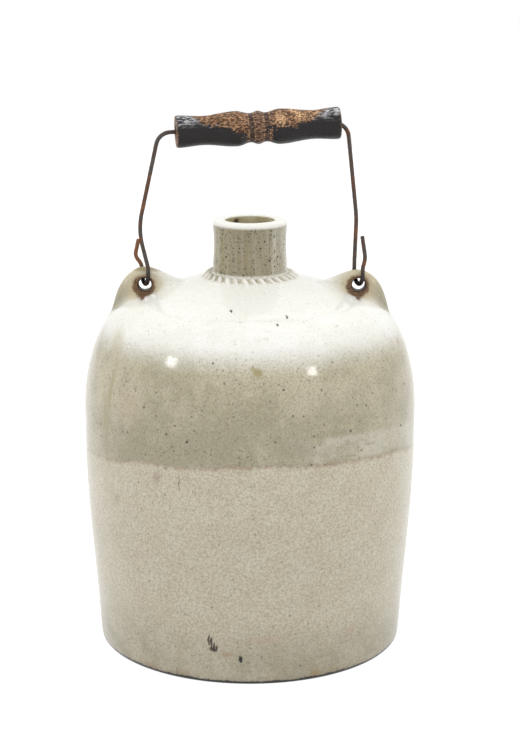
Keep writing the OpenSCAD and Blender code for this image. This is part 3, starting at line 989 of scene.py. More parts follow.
        # Fewer flecks under the crown's painted highlight.
        fewer = glaze.ramp(glaze.axes[2], self.crown_highlight_from * MM, self.crown_highlight_to * MM, 1.0, 0.3)
        share = glaze.times(glaze.ramp(above, 0.0, 1.0, 0.5, 1.0), fewer)
        colour = glaze.over(glaze.times(fine, share, 0.5), colour, self.fleck)
        colour = glaze.over(glaze.times(middle, share, 0.75), colour, self.fleck)
        colour = glaze.over(glaze.times(dark, share), colour, self.dark_fleck)
        return colour, glaze.times(glaze.most(middle, dark), share)

    def _runs(self, glaze: Finish, colour: Socket) -> Socket:
        """Draw the glaze's vertical runs, at the left of the front and at the back.

        Args:
            glaze: The material.
            colour: Colour so far.

        Returns:
            The colour.
        """
        streaks = glaze.ramp(glaze.noise(glaze.drawn(0.07), 170.0, 3.0, 0.6), 0.5, 0.68)
        left = glaze.stain((-74, -50, 142), (17, 26, 52), 0.7)
        colour = glaze.over(glaze.times(streaks, left, 0.6), colour, self.run)
        back = glaze.stain((48, 78, 120), (22, 22, 46), 0.7)
        return glaze.over(glaze.times(streaks, back, 0.5), colour, self.run)

    def _collar(self, glaze: Finish, colour: Socket) -> Socket:
        """Dull the collar's side, with olive runs at its left, pale ones at its right and crowded specks;
        whiten the lip as a painted highlight and tint the tool marks' pits as painted shade.

        Args:
            glaze: The material.
            colour: Colour so far.

        Returns:
            The colour.
        """
        low, high = self.form.crown_z(self.form.neck_r), self.form.mouth_z
        side = glaze.band(glaze.axes[2], (low + 0.5, low + 2.5), (high - 1.0, high - 3.2))
        drawn = glaze.drawn(0.08)
        fine = glaze.ramp(glaze.noise(drawn, 420.0, 3.0, 0.6), 0.3, 0.7, 0.86, 1.0)
        fine = glaze.times(fine, glaze.ramp(glaze.away(glaze.axes[0]), 19 * MM, 8 * MM, 0.8, 1.0))
        colour = glaze.over(glaze.times(side, fine), colour, self.collar)
        olive = glaze.times(glaze.ramp(glaze.axes[0], -6 * MM, -19 * MM), side)
        olive = glaze.times(olive, glaze.ramp(glaze.noise(drawn, 300.0, 3.0, 0.6), 0.4, 0.6, 0.0, 0.8))
        colour = glaze.over(olive, colour, self.olive)
        pale = glaze.times(glaze.ramp(glaze.axes[0], 5 * MM, 18 * MM), side)
        shifted = glaze.vector("ADD", drawn, (0.3, 0.6, 0.2))
        pale = glaze.times(pale, glaze.ramp(glaze.noise(shifted, 380.0, 3.0, 0.6), 0.45, 0.62, 0.0, 0.45))
        colour = glaze.over(pale, colour, self.pale)
        crowd = glaze.ramp(glaze.mottle(9), 0.1, 0.8, 0.5, 1.0)
        specks = glaze.speckle(1.8, 0.95, 0.95, glaze.moved(0.9, 0.4, 0.3))
        small = glaze.speckle(1.2, 0.9, 0.6, glaze.moved(0.5, 0.8, 0.2))
        specks = glaze.times(glaze.most(specks, glaze.times(small, 0.9)), crowd, side)
        colour = glaze.over(specks, colour, self.dark_fleck)
        # Painted highlight: the lip's top is whitened.
        lip = glaze.ramp(glaze.axes[2], (high - 3.4) * MM, (high - 1.6) * MM, 0.0, 0.85)
        colour = glaze.over(lip, colour, self.lip)
        # Painted shade in the tool marks' pits, by their depth.
        return glaze.over(glaze.times(glaze.attribute("pressed"), 0.75), colour, self.pressed)

    @staticmethod
    def _marks(glaze: Finish, colour: Socket) -> Socket:
        """Lay the single marks, their edges pushed about a little.

        Args:
            glaze: The material.
            colour: Colour so far.

        Returns:
            The colour.
        """
        pushed = glaze.pushed(380.0, 2.6)
        for spot in MARKS:
            mask = glaze.stain(spot.middle, spot.reach, spot.soft, pushed)
            colour = glaze.over(glaze.times(mask, spot.strength), colour, spot.colour)
        return colour

    def _hole_rust(self, glaze: Finish, colour: Socket) -> tuple[Socket, Socket]:
        """Stain the ears round their holes, with a drip below each, and darken inside the holes with rust and
        painted shade.

        Args:
            glaze: The material.
            colour: Colour so far.

        Returns:
            The colour and the mask of the stain.
        """
        pits = glaze.rust(3.0)["Pits"]
        pushed = glaze.pushed(520.0, 2.0)
        ring: Feed = 0.0
        halo: Feed = 0.0
        inner: Feed = 0.0
        for side, reach in zip(Side, self.hole_reaches):
            x, z = side.value * reach, self.form.hole_z
            ring = glaze.most(ring, glaze.stain((x - 0.6, 0, z - 0.8), (7.4, 20, 7.2), 0.25, pushed))
            ring = glaze.most(ring, glaze.stain((x - 0.8, -10, z - 5.4), (2.3, 10.5, 3.8), 0.6, pushed))
            halo = glaze.most(halo, glaze.stain((x, 0, z - 1), (12, 16, 11.5), 0.8, pushed))
            inner = glaze.most(inner, glaze.stain((x, 0, z), (4.9, 90, 4.9), 0.3, pushed))
        colour = glaze.over(glaze.times(halo, 0.6), colour, self.halo)
        ring = glaze.times(ring, glaze.ramp(pits, 0.34, 0.58, 0.75, 1.0))
        brown = glaze.over(glaze.ramp(pits, 0.36, 0.62), srgb(*self.rust_light), self.rust_dark)
        # Inside the holes: rust and painted shade.
        dark = glaze.times(inner, glaze.ramp(pits, 0.32, 0.62, 1.0, 0.55))
        colour = glaze.over(dark, glaze.mix(ring, colour, brown), self.hole_rust_and_shade)
        return colour, glaze.most(ring, dark)

    def _foot(self, glaze: Finish, colour: Socket) -> Socket:
        """Stain the edge of the base, and leave the foot's bevel bare and dark, with a painted contact shadow
        along it.

        Args:
            glaze: The material.
            colour: Colour so far.

        Returns:
            The colour.
        """
        cloud = glaze.mottle(9)
        near = glaze.times(glaze.ramp(glaze.axes[2], 9 * MM, 1 * MM), glaze.ramp(cloud, 0.35, 1.0))
        colour = glaze.over(glaze.times(near, 0.5), colour, self.foot_stain)
        ragged = glaze.scaled(cloud, -0.7 * MM, glaze.axes[2])
        # The dark line at the foot: bare clay and a painted contact shadow.
        return glaze.over(glaze.ramp(ragged, 2.0 * MM, 1.4 * MM), colour, self.foot_line_and_shadow)

    def _relief(self, glaze: Finish, above: Socket, flecks: Socket) -> Socket:
        """Raise the glaze: slow waves, throwing rings, orange peel, the thicker coat and pits at the flecks.

        Args:
            glaze: The material.
            above: Mask of the upper coat.
            flecks: Mask of the flecks.

        Returns:
            The height in millimetres.
        """
        wave = glaze.times(glaze.noise(glaze.place, 30.0, 2.0, 0.5), 0.42)
        peel = glaze.times(glaze.noise(glaze.place, 460.0, 2.0, 0.5), 0.022)
        bent = glaze.scaled(glaze.noise(glaze.place, 18.0, 1.0), 0.012, glaze.axes[2])
        rings = glaze.times(glaze.math("SINE", glaze.times(bent, FULL_TURN / (self.ring_gap * MM))), 0.012)
        height = glaze.math("ADD", glaze.math("ADD", wave, peel), rings)
        return glaze.scaled(flecks, -0.03, glaze.scaled(above, 0.06, height))


@dataclass(frozen=True)
class InnerGlazeFinish:
    """Darker olive glaze inside the jug."""

    colour: Tint = (188, 180, 148)
    dark: Tint = (160, 150, 116)
    stain: Tint = (66, 42, 24)

    def build(self, effects: Effects) -> Material:
        """Build the material.

        Args:
            effects: The shared node groups.

        Returns:
            The material.
        """
        glaze = Finish("inner_glaze", effects)
        colour = glaze.over(glaze.mottle(18), srgb(*self.colour), self.dark)
        flecks = glaze.speckle(2.6, 0.5, 0.6)
        colour = glaze.over(glaze.times(flecks, 0.6), colour, self.stain)
        spot = glaze.stain((-7.6, 11.4, 233.6), (2.2, 6, 1.8), 0.6)
        colour = glaze.over(glaze.times(spot, 0.9), colour, self.stain)
        height = glaze.times(glaze.noise(glaze.place, 240.0, 3.0), 0.06)
        return glaze.done(colour, glaze.scaled(flecks, 0.2, 0.2), height)


@dataclass(frozen=True)
class WireFinish:
    """Iron wire under dull brown rust, redder on the left tail and black at the hooks."""

    iron: Tint = (66, 58, 53)
    worn: Tint = (96, 88, 82)
    red: Tint = (132, 84, 50)
    black: Tint = (30, 24, 21)
    black_from: float = 211.0
    black_to: float = 204.0

    def build(self, effects: Effects) -> Material:
        """Build the material.

        Args:
            effects: The shared node groups.

        Returns:
            The material.
        """
        wire = Finish("rusty_wire", effects)
        rust = wire.rust(5.0)
        metal = wire.over(wire.times(wire.mottle(2.4), 0.5), srgb(*self.iron), self.worn)
        mask = wire.times(rust["Mask"], 0.55)
        colour = wire.mix(mask, metal, rust["Color"])
        tail = wire.stain((-61.5, 7, 218), (5, 7, 13), 0.4)
        colour = wire.over(wire.times(tail, 0.75), colour, self.red)
        hooks = wire.ramp(wire.axes[2], self.black_from * MM, self.black_to * MM, 0.0, 0.8)
        wire.feed(wire.shader["Metallic"], wire.scaled(mask, -0.3, 0.3))
        rough = wire.scaled(rust["Mask"], 0.25, 0.5)
        return wire.done(wire.over(hooks, colour, self.black), rough, wire.times(rust["Pits"], 0.14))


@dataclass(frozen=True)
class GripFinish:
    """Black paint on turned wood, worn through where the hand holds it."""

    paint: Tint = (34, 31, 32)
    # Pale flakes of paint, and painted sheen on top of the ends.
    paint_flakes_and_sheen: Tint = (202, 200, 203)
    wood: Tint = (170, 122, 88)
    # Paler wood, also used for the painted highlights on the bead's ridges.
    pale_wood_and_highlight: Tint = (230, 184, 138)
    wood_dark: Tint = (92, 64, 48)
    bead: Tint = (140, 108, 92)
    groove: Tint = (86, 72, 62)
    crack: Tint = (34, 24, 20)
    groove_at: float = 4.2
    ridge_off: float = 1.7
    shine: float = 0.25

    def build(self, effects: Effects) -> Material:
        """Build the material.

        Args:
            effects: The shared node groups.

        Returns:
            The material.
        """
        grip = Finish("painted_wood", effects, own_place=True)
        wear = grip.attribute("wear")
        along = grip.drawn(0.3)
        ragged = grip.math("SUBTRACT", grip.noise(along, 520.0, 5.0, 0.7), 0.5)
        specks = grip.math("SUBTRACT", grip.noise(grip.place, 850.0, 4.0, 0.75), 0.5)
        bare = grip.ramp(grip.scaled(ragged, 1.1, grip.scaled(specks, 1.5, wear)), 0.44, 0.54)
        grain = grip.noise(along, 1200.0, 4.0, 0.65)
        cracked = grip.ramp(grip.noise(grip.drawn(0.5), 1150.0, 6.0, 0.8), 0.51, 0.43)
        flaked = grip.ramp(grip.noise(along, 900.0, 5.0, 0.75), 0.46, 0.58)
        from_middle = grip.away(grip.axes[2])
        wood = self._wood(grip, grain, cracked, from_middle)
        paint = self._paint(grip, flaked, grip.speckle(1.0, 0.6, 0.42, along), wear, from_middle)
        grip.shader["Specular IOR Level"].default_value = self.shine
        rough = grip.scaled(bare, 0.12, grip.scaled(flaked, 0.1, 0.34))
        height = grip.scaled(cracked, grip.times(bare, -0.3), grip.times(grain, bare, 0.3))
        height = grip.scaled(flaked, 0.05, grip.scaled(bare, -0.2, height))
        return grip.done(grip.mix(bare, paint, wood), rough, height)

    def _wood(self, grip: Finish, grain: Socket, cracked: Socket, from_middle: Socket) -> Socket:
        """Colour the bare wood, darker in its grooves and cracks, with painted highlights along the bead's
        ridges.

        Args:
            grip: The material.
            grain: The grain.
            cracked: Mask of the cracks.
            from_middle: Distance from the grip's middle.

        Returns:
            The colour.
        """
        wood = grip.over(grip.ramp(grain, 0.35, 0.65), srgb(*self.wood_dark), self.wood)
        right = grip.ramp(grip.axes[2], 2 * MM, 14 * MM, 0.4, 0.95)
        wood = grip.over(grip.times(grip.mottle(7), right), wood, self.pale_wood_and_highlight)
        wood = grip.over(grip.ramp(from_middle, 8.2 * MM, 6.4 * MM, 0.0, 0.7), wood, self.bead)
        off_groove = grip.away(from_middle, self.groove_at * MM)
        wood = grip.over(grip.ramp(off_groove, 2.0 * MM, 0.6 * MM, 0.0, 0.75), wood, self.groove)
        ridges = grip.away(off_groove, self.ridge_off * MM)
        # Painted highlights along the ridges beside the bead's grooves.
        lit = grip.times(grip.ramp(ridges, 0.7 * MM, 0.2 * MM), grip.ramp(grain, 0.45, 0.6, 0.1, 0.8))
        lit = grip.times(lit, grip.ramp(from_middle, 7.0 * MM, 6.0 * MM))
        wood = grip.over(lit, wood, self.pale_wood_and_highlight)
        return grip.over(grip.times(cracked, 0.9), wood, self.crack)

    def _paint(
        self, grip: Finish, flaked: Socket, chips_and_glints: Socket, wear: Socket, from_middle: Socket
    ) -> Socket:
        """Colour the paint, with pale flakes and painted sheen on top of the ends, and flecks of chipped
        paint and painted glints beside the bare wood.

        Args:
            grip: The material.
            flaked: Mask of the flakes.
            chips_and_glints: Mask of the chipped paint and painted glints.
            wear: Wear of the piece.
            from_middle: Distance from the grip's middle.

        Returns:
            The colour.
        """
        ends = grip.ramp(from_middle, 24 * MM, 36 * MM, 0.25, 1.0)
        # Pale flakes and painted sheen on top of the ends.
        dull = grip.times(grip.ramp(grip.axes[0], 1.5 * MM, 7.5 * MM), ends, flaked)
        # Light flecks beside the bare wood: chipped paint, and painted glints.
        chips_and_glints = grip.times(chips_and_glints, grip.ramp(wear, 0.05, 0.45, 0.0, 0.75))
        return grip.over(grip.times(grip.most(dull, chips_and_glints), 0.85), srgb(*self.paint), self.paint_flakes_and_sheen)


def white_behind(graph: Graph) -> Socket:
    """Mark the rays that see the white surroundings: from the camera, or off or through a shiny piece.

    Args:
        graph: Graph of the white piece.

    Returns:
        The mask.
    """
    path = graph.add("ShaderNodeLightPath").outputs
    return graph.most(path["Is Camera Ray"], path["Is Glossy Ray"], path["Is Transmission Ray"])


@dataclass(frozen=True)
class FloorFinish:
    """Plain white floor that keeps the jug's shadow."""

    colour: float = 0.25
    lift: float = 0.88
    roughness: float = 0.9

    def build(self) -> Material:
        """Build the material.

        Returns:
            The material.
        """
        material = bpy.data.materials.new("white_floor")
        material.use_nodes = True
        graph = Graph(material.node_tree)
        shader = material.node_tree.nodes["Principled BSDF"]
        shader.inputs["Base Color"].default_value = (self.colour, self.colour, self.colour, 1)
        shader.inputs["Roughness"].default_value = self.roughness
        shader.inputs["Specular IOR Level"].default_value = 0.0
        glow = graph.add("ShaderNodeEmission", {"Color": (1, 1, 1, 1)})
        graph.feed(glow.inputs["Strength"], graph.times(white_behind(graph), self.lift))
        both = graph.add("ShaderNodeAddShader", {0: shader.outputs[0], 1: glow.outputs[0]})
        graph.feed(material.node_tree.nodes["Material Output"].inputs["Surface"], both.outputs[0])
        return material


@dataclass
class ClayBody:
    """The thrown jug: lower body and shoulder, turned from one wall outline that is split at the seam."""

    form: JugForm
    outer: Material
    inner: Material
    steps: int = 192
    bevel: tuple[tuple[float, float], ...] = ((1.0, 0.0), (0.45, 0.35), (0.08, 1.05))
    bevel_top: float = 1.9
    floor_step: float = 8.0
    seam_step: float = 1.5
    unevenness: float = 0.45
    slow_size: float = 46.0
    quick_size: float = 17.0
    even_foot: tuple[float, float] = (4.0, 22.0)
    even_crown: tuple[float, float] = (150.0, 26.0)
    even_middle: float = 60.0

    def lower_body(self) -> Piece:
        """Turn the floor and the wall up to the seam.

        Returns:
            The piece.
        """
        form = self.form
        bevel = [(form.foot_r - form.foot_bevel * share, z) for share, z in self.bevel]
        outside = [p for p in form.lower_wall(0, form.seam_z) if p[1] > self.bevel_top]
        lean = math.radians(form.lean)
        round_top = form.floor_t + form.floor_round_r
        inner_r = form.foot_r - form.wall / math.cos(lean) + round_top * math.tan(lean)
        centre = (inner_r - form.floor_round_r, round_top)
        corner = arc(centre, form.floor_round_r, -form.lean, -90, form.step)
        inside = [p for p in form.lower_wall(form.wall, form.seam_z) if p[1] > corner[0][1] + 0.5]
        outline = joined(
            line((0, 0), bevel[0], self.floor_step),
            bevel,
            outside,
            line(outside[-1], inside[-1], self.seam_step),
            inside[::-1],
            corner,
            line(corner[-1], (0, form.floor_t), self.floor_step),
        )
        return self._finish(Bench.lathe("clay_lower_body", outline, self.steps), "lower_body")

    def shoulder(self) -> Piece:
        """Turn the wall above the seam, the rounded corner and the crown.

        Returns:
            The piece.
        """
        form = self.form
        outside = form.upper_wall(0, form.seam_z)
        inside = form.upper_wall(form.wall, form.seam_z)
        top = line(outside[-1], inside[-1], self.seam_step)
        seam = line(inside[0], outside[0], self.seam_step)
        piece = Bench.lathe("clay_shoulder", joined(outside, top, inside[::-1], seam), self.steps)
        return self._finish(piece, "shoulder")

    def _finish(self, piece: Piece, node: str) -> Piece:
        """Make the wall a little uneven, smooth it and glaze it.

        Args:
            piece: The turned piece.
            node: Node that it stands for.

        Returns:
            The piece.
        """
        co = Bench.points(piece)
        spread = np.hypot(co[:, 0], co[:, 1])
        slow = field(co * [1, 1, 0.6], self.slow_size, 3.0)
        quick = field(co * [0.5, 0.5, 1.6], self.quick_size, 8.0)
        depth = self.unevenness * (0.5 + 0.38 * slow + 0.12 * quick)
        low = 1 - ease((co[:, 2] - self.even_foot[0]) / self.even_foot[1])
        high = ease((co[:, 2] - self.even_crown[0]) / self.even_crown[1])
        side = np.clip(spread / self.even_middle, 0, 1)
        co[:, :2] *= (1 - np.clip(depth, 0, None) * low * high * side / np.maximum(spread, 1))[:, None]
        Bench.lay(piece, co)
        Bench.smooth(piece, 38)
        glaze_both_sides(piece, self.form, self.outer, self.inner)
        Bench.attach(piece, "jug", node, "pale_glaze")
        return piece


def glaze_both_sides(piece: Piece, form: JugForm, outer: Material, inner: Material) -> None:
    """Give a clay piece both glazes, the darker one on the faces inside the jug.

    Args:
        piece: The clay piece.
        form: Sizes of the jug.
        outer: Glaze outside.
        inner: Glaze inside.
    """
    Bench.coat(piece, outer, inner)
    middle = np.empty(len(piece.data.polygons) * 3)
    piece.data.polygons.foreach_get("center", middle)
    middle = middle.reshape(-1, 3) / MM
    half_wall, half_floor = form.wall * 0.5, form.floor_t * 0.5
    top = form.crown_z(form.neck_r) - half_wall
    wall = joined(form.lower_wall(half_wall, form.seam_z), form.upper_wall(half_wall, form.seam_z))
    wall = [p for p in wall if half_floor < p[1] <= top]
    limit = np.interp(middle[:, 2], [p[1] for p in wall], [p[0] for p in wall])
    bore = (form.neck_r + form.mouth_r) / 2 - 1.2
    limit = np.where(middle[:, 2] > top, bore, limit)
    spread = np.hypot(middle[:, 0], middle[:, 1])
    hidden = (spread < limit) & (middle[:, 2] > half_floor) & (middle[:, 2] < form.mouth_z - 0.9)
    slots = np.where(hidden, Coat.INSIDE.value, Coat.OUTSIDE.value).astype(np.int32)
    piece.data.polygons.foreach_set("material_index", slots)
    piece.data.update()


@dataclass
class Neck:
    """The collar with its rounded lip, and the ring of slanted tool marks at its foot."""

    form: JugForm
    outer: Material
    inner: Material
    steps: int = 448
    lip_out_r: float = 1.8
    lip_in_r: float = 1.3
    hollow: float = 0.5
    ring_start_r: float = 23.0
    ring_end_r: float = 28.4
    ring_h: float = 2.3
    ring_foot_h: float = 1.15
    ring_zone: float = 2.5
    mark_count: int = 31
    mark_depth: float = 2.1
    mark_half: float = 1.45
    mark_slant: float = 28.0
    mark_end_r: float = 26.4
    mark_end_spread: float = 1.8
    mark_fade: float = 1.6
    sink: float = 0.3
    dent: float = 0.16
    dent_size: float = 9.0
    lip_dip: float = 0.22
    lip_dip_size: float = 11.0

    def ring_height(self, r: np.ndarray) -> np.ndarray:
        """Find the height of the smooth ring above the crown.

        Args:
            r: Radii.

        Returns:
            The heights.
        """
        start = self.form.neck_r
        rise = 1 - ease((r - start) / (self.ring_start_r - start))
        inside = self.ring_foot_h + (self.ring_h - self.ring_foot_h) * rise
        fall = ease((r - self.ring_start_r) / (self.ring_end_r - self.ring_start_r))
        return np.where(r < self.ring_start_r, inside, self.ring_h * fall)

    def build(self) -> Piece:
        """Turn the collar and its ring, press the marks into the ring, and glaze the piece.

        Returns:
            The piece.
        """
        form = self.form
        top = form.mouth_z
        low = form.crown_z(form.mouth_r) - self.sink
        ring_r = np.linspace(self.ring_end_r, form.neck_r, 26)
        heights = self.ring_height(ring_r)
        ring = [(float(r), form.crown_z(float(r)) + float(h)) for r, h in zip(ring_r, heights)]
        hollow_l = form.neck_h - self.lip_out_r * 3 - self.ring_h * 2
        hollow_z = top - self.lip_out_r * 2 - hollow_l / 2
        side = []
        for r, z in line(ring[-1], (form.neck_r, top - self.lip_out_r), 1.0)[1:]:
            share = min(1.0, abs(z - hollow_z) / (hollow_l / 2))
            side.append((r - self.hollow * (1 - share * share), z))
        outline = joined(
            line((form.mouth_r, low), (self.ring_end_r, form.crown_z(self.ring_end_r) - self.sink), 2),
            ring,
            side,
            arc((form.neck_r - self.lip_out_r, top - self.lip_out_r), self.lip_out_r, 0, 90, 0.3),
            arc((form.mouth_r + self.lip_in_r, top - self.lip_in_r), self.lip_in_r, 90, 180, 0.3),
            line((form.mouth_r, top - self.lip_in_r), (form.mouth_r, low), 1.6),
        )
        piece = Bench.lathe("clay_neck", outline, self.steps)
        co = Bench.points(piece)
        spread = np.hypot(co[:, 0], co[:, 1])
        cone = np.array([form.crown_z(float(r)) for r in spread])
        depth = self._mark_depths(co, spread, cone)
        co[:, 2] -= depth
        # The depth share is kept for the painted shade in the pits.
        Bench.note(piece, "pressed", np.clip(depth / (self.mark_depth * 0.7), 0, 1))
        self._dent(co, spread, cone)
        Bench.lay(piece, co)
        Bench.smooth(piece, 50)
        glaze_both_sides(piece, form, self.outer, self.inner)
        Bench.attach(piece, "jug", "neck", "pale_glaze")
        return piece

    def _mark_depths(self, co: np.ndarray, spread: np.ndarray, cone: np.ndarray) -> np.ndarray:
        """Find how deep the slanted marks press each point of the ring.

        Args:
            co: Places in millimetres.
            spread: Their distances from the axis.
            cone: Height of the crown under each.

        Returns:
            The depths.
        """
        turn = np.arctan2(co[:, 1], co[:, 0])
        shift = (spread - self.ring_start_r) * math.tan(math.radians(self.mark_slant)) / self.ring_start_r
        phase = (turn - shift) * self.mark_count / FULL_TURN
        number = np.round(phase)
        luck = scatter(number, 12.9898, 4.1, 43758.5453)
        width = self.mark_half * (0.75 + 0.5 * scatter(number, 78.233, 1.3, 12543.123))
        away = (phase - number + (luck - 0.5) * 0.22) * FULL_TURN / self.mark_count * spread
        end = ease((spread - (self.mark_end_r + self.mark_end_spread * luck)) / self.mark_fade)
        reach = end * (1 - ease((spread - self.form.neck_r) / 1.0) * 0.5)
        depth = self.mark_depth * (0.55 + 0.6 * luck) * np.exp(-((away / width) ** 2)) * reach
        above = co[:, 2] - cone
        near = (co[:, 2] > cone - 0.02) & (co[:, 2] < cone + self.ring_zone)
        on_ring = (spread > self.form.neck_r + 0.05) & near
        return np.where(on_ring, np.minimum(depth, np.maximum(above + 0.25, 0)), 0)

    def _dent(self, co: np.ndarray, spread: np.ndarray, cone: np.ndarray) -> None:
        """Make the collar and its lip a little uneven.

        Args:
            co: Places in millimetres, changed here.
            spread: Their distances from the axis.
            cone: Height of the crown under each.
        """
        collar = (spread > self.form.mouth_r + 1) & (co[:, 2] > cone + self.ring_zone)
        dent = self.dent * (0.5 + 0.5 * field(co, self.dent_size, 5.0))
        co[:, :2] *= (1 - np.where(collar, dent, 0) / spread)[:, None]
        lip = co[:, 2] > self.form.mouth_z - 1.9
        dip = self.lip_dip * (0.5 + 0.5 * field(co * [1, 1, 0.1], self.lip_dip_size, 2.0))
        co[:, 2] -= np.where(lip, dip, 0)


@dataclass
class Ear:
    """A pierced clay ear, faired into the crown."""

    form: JugForm
    outer: Material
    side: Side
    reach: float
    height: float
    run_out: float
    run_in: float = 27.0
    top_from: float = 0.7
    top_to: float = 0.9
    half_t: float = 3.6
    swell: float = 0.4
    fillet_r: float = 4.0
    lip_r: float = 1.5
    crust: float = 0.15
    toe_sink: float = 0.7
    toe_shares: tuple[float, float] = (0.03, 0.985)
    skirt: float = 0.8
    skirt_drop: float = 0.6
    apron: float = 2.4
    rings: int = 84
    tool_flare: float = 2.5

    def rise(self, s: float, start: float, end: float) -> float:
        """Share of the ear's height at run s: level on top, eased down to both toes.

        Args:
            s: Run from the crown's edge, outwards.
            start: Where the level top starts.
            end: Where it ends.

        Returns:
            The share, from 0 to 1.
        """
        off = (start - s) / self.run_in if s < start else max(0.0, (s - end) / self.run_out)
        return float(ease(np.array(off)))

    def section(self, height: float) -> Outline:
        """Closed section of the ear at a place where it rises to the given height.

        Args:
            height: Height of its rim above the crown there.

        Returns:
            Points (across, up), from the hidden edge at one side over the rim to the other side and back.
        """
        half_t, fillet_r = self.half_t, self.fillet_r
        tall = max(height, half_t + fillet_r)
        scale = min(1.0, height / (half_t + fillet_r))
        narrow = 0.5 + 0.5 * max(0.0, scale)
        foot = half_t + self.swell
        quarter = math.pi / 2
        turns = np.linspace(0, quarter, 10)
        half = [(half_t * math.sin(a), tall - half_t * (1 - math.cos(a))) for a in turns]
        for share in (0.25, 0.5, 0.75):
            half.append((half_t + self.swell * share, tall - half_t + (fillet_r - tall + half_t) * share))
        for a in np.linspace(0, quarter, 12):
            half.append((foot + fillet_r * (1 - math.cos(a)), fillet_r * (1 - math.sin(a))))
        half = [(x * narrow, y * scale - 0.05) for x, y in half]
        edge = (foot + fillet_r) * narrow + self.skirt
        half += [(edge, -self.skirt_drop), (edge, -self.apron)]
        mirrored = [(-x, y) for x, y in half[:0:-1]]
        return mirrored + half + [(0.0, -self.apron), mirrored[0]]

    def build(self) -> Piece:
        """Lay a grid over the ear's sections, close it, drill the hole and glaze the piece.

        Returns:
            The piece.
        """
        form = self.form
        slope = math.radians(form.crown_slope)
        foot_s = (self.reach - form.hole_rise * math.sin(slope) - form.crown_edge[0]) / math.cos(slope)
        start, end = foot_s + self.top_from, foot_s + self.top_to
        first, whole = start - self.run_in, end + self.run_out - start + self.run_in
        rows = []
        for share in np.linspace(*self.toe_shares, self.rings + 1):
            s = first + whole * float(share)
            height = (self.height + self.toe_sink) * self.rise(s, start, end) - self.toe_sink
            rows.append(self._ring(s, self.section(height)))
        columns = len(rows[0]) - 1
        Bench.clear()
        bpy.ops.mesh.primitive_grid_add(x_subdivisions=columns, y_subdivisions=self.rings, size=2)
        piece = bpy.context.object
        piece.name = "clay_ear_" + self.side.name.lower()
        flat = Bench.points(piece) * MM
        column = np.rint((flat[:, 0] + 1) / 2 * columns).astype(int)
        row = np.rint((flat[:, 1] + 1) / 2 * self.rings).astype(int)
        placed = np.array(rows)[row, column]
        placed[:, 0] *= self.side.value
        Bench.lay(piece, placed)
        bpy.ops.object.mode_set(mode="EDIT")
        Bench.close_up()
        Bench.cut(piece, self._spool())
        Bench.smooth(piece, 40)
        Bench.coat(piece, self.outer)
        Bench.attach(piece, "jug", "ear_" + self.side.name.lower(), "pale_glaze")
        return piece

    def _ring(self, s: float, section: Outline) -> list[Triple]:
        """Stand a section on the crown at run s. The crown falls away to both sides, and it follows.

        Args:
            s: Run from the crown's edge, outwards.
            section: Points (across, up).

        Returns:
            Places in millimetres, for the right-hand ear.
        """
        a = math.radians(self.form.outline_angle(s))
        foot = self.form.outline_point(s)
        placed = []
        for across, up in section:
            drop = (math.hypot(foot[0], across) - foot[0]) * math.cos(a)
            height = up - drop
            placed.append((foot[0] + height * math.cos(a), across, foot[1] + height * math.sin(a)))
        return placed

    def _spool(self) -> Piece:
        """Turn the tool that drills the hole and rounds its lips.

        Returns:
            The tool.
        """
        form = self.form
        face = self.half_t + self.swell
        hole_r = form.hole_r - self.crust
        flare = arc((hole_r + self.lip_r, face - self.lip_r), self.lip_r, 180, 90, 0.3)
        end = (flare[-1][0] + self.tool_flare, face + self.tool_flare)
        upper = joined([(hole_r, 0), *flare], line(flare[-1], end, 2))
        upper.append((0.0, upper[-1][1]))
        lower = [(r, -z) for r, z in upper[:0:-1]]
        tool = Bench.lathe("hole_tool", joined(lower, upper), 72)
        Bench.pick(tool)
        tool.data.transform(Matrix.Rotation(math.pi / 2, 4, "X"))
        tool.data.transform(Matrix.Translation(Vector((self.side.value * self.reach, 0, form.hole_z)) * MM))
        return tool


@dataclass(frozen=True)
class Limb:
    """One side of the bail: how its leg and its tail run from the hook, in millimetres."""

    side: Side
    reach: float
    knee_shift: float
    knee_rise: float
    knee_bend: float
    top_run: float
    tail_out: float
    tail_rise: float
    tail_curl: float
    tip_rise: float
    tail_bend: float


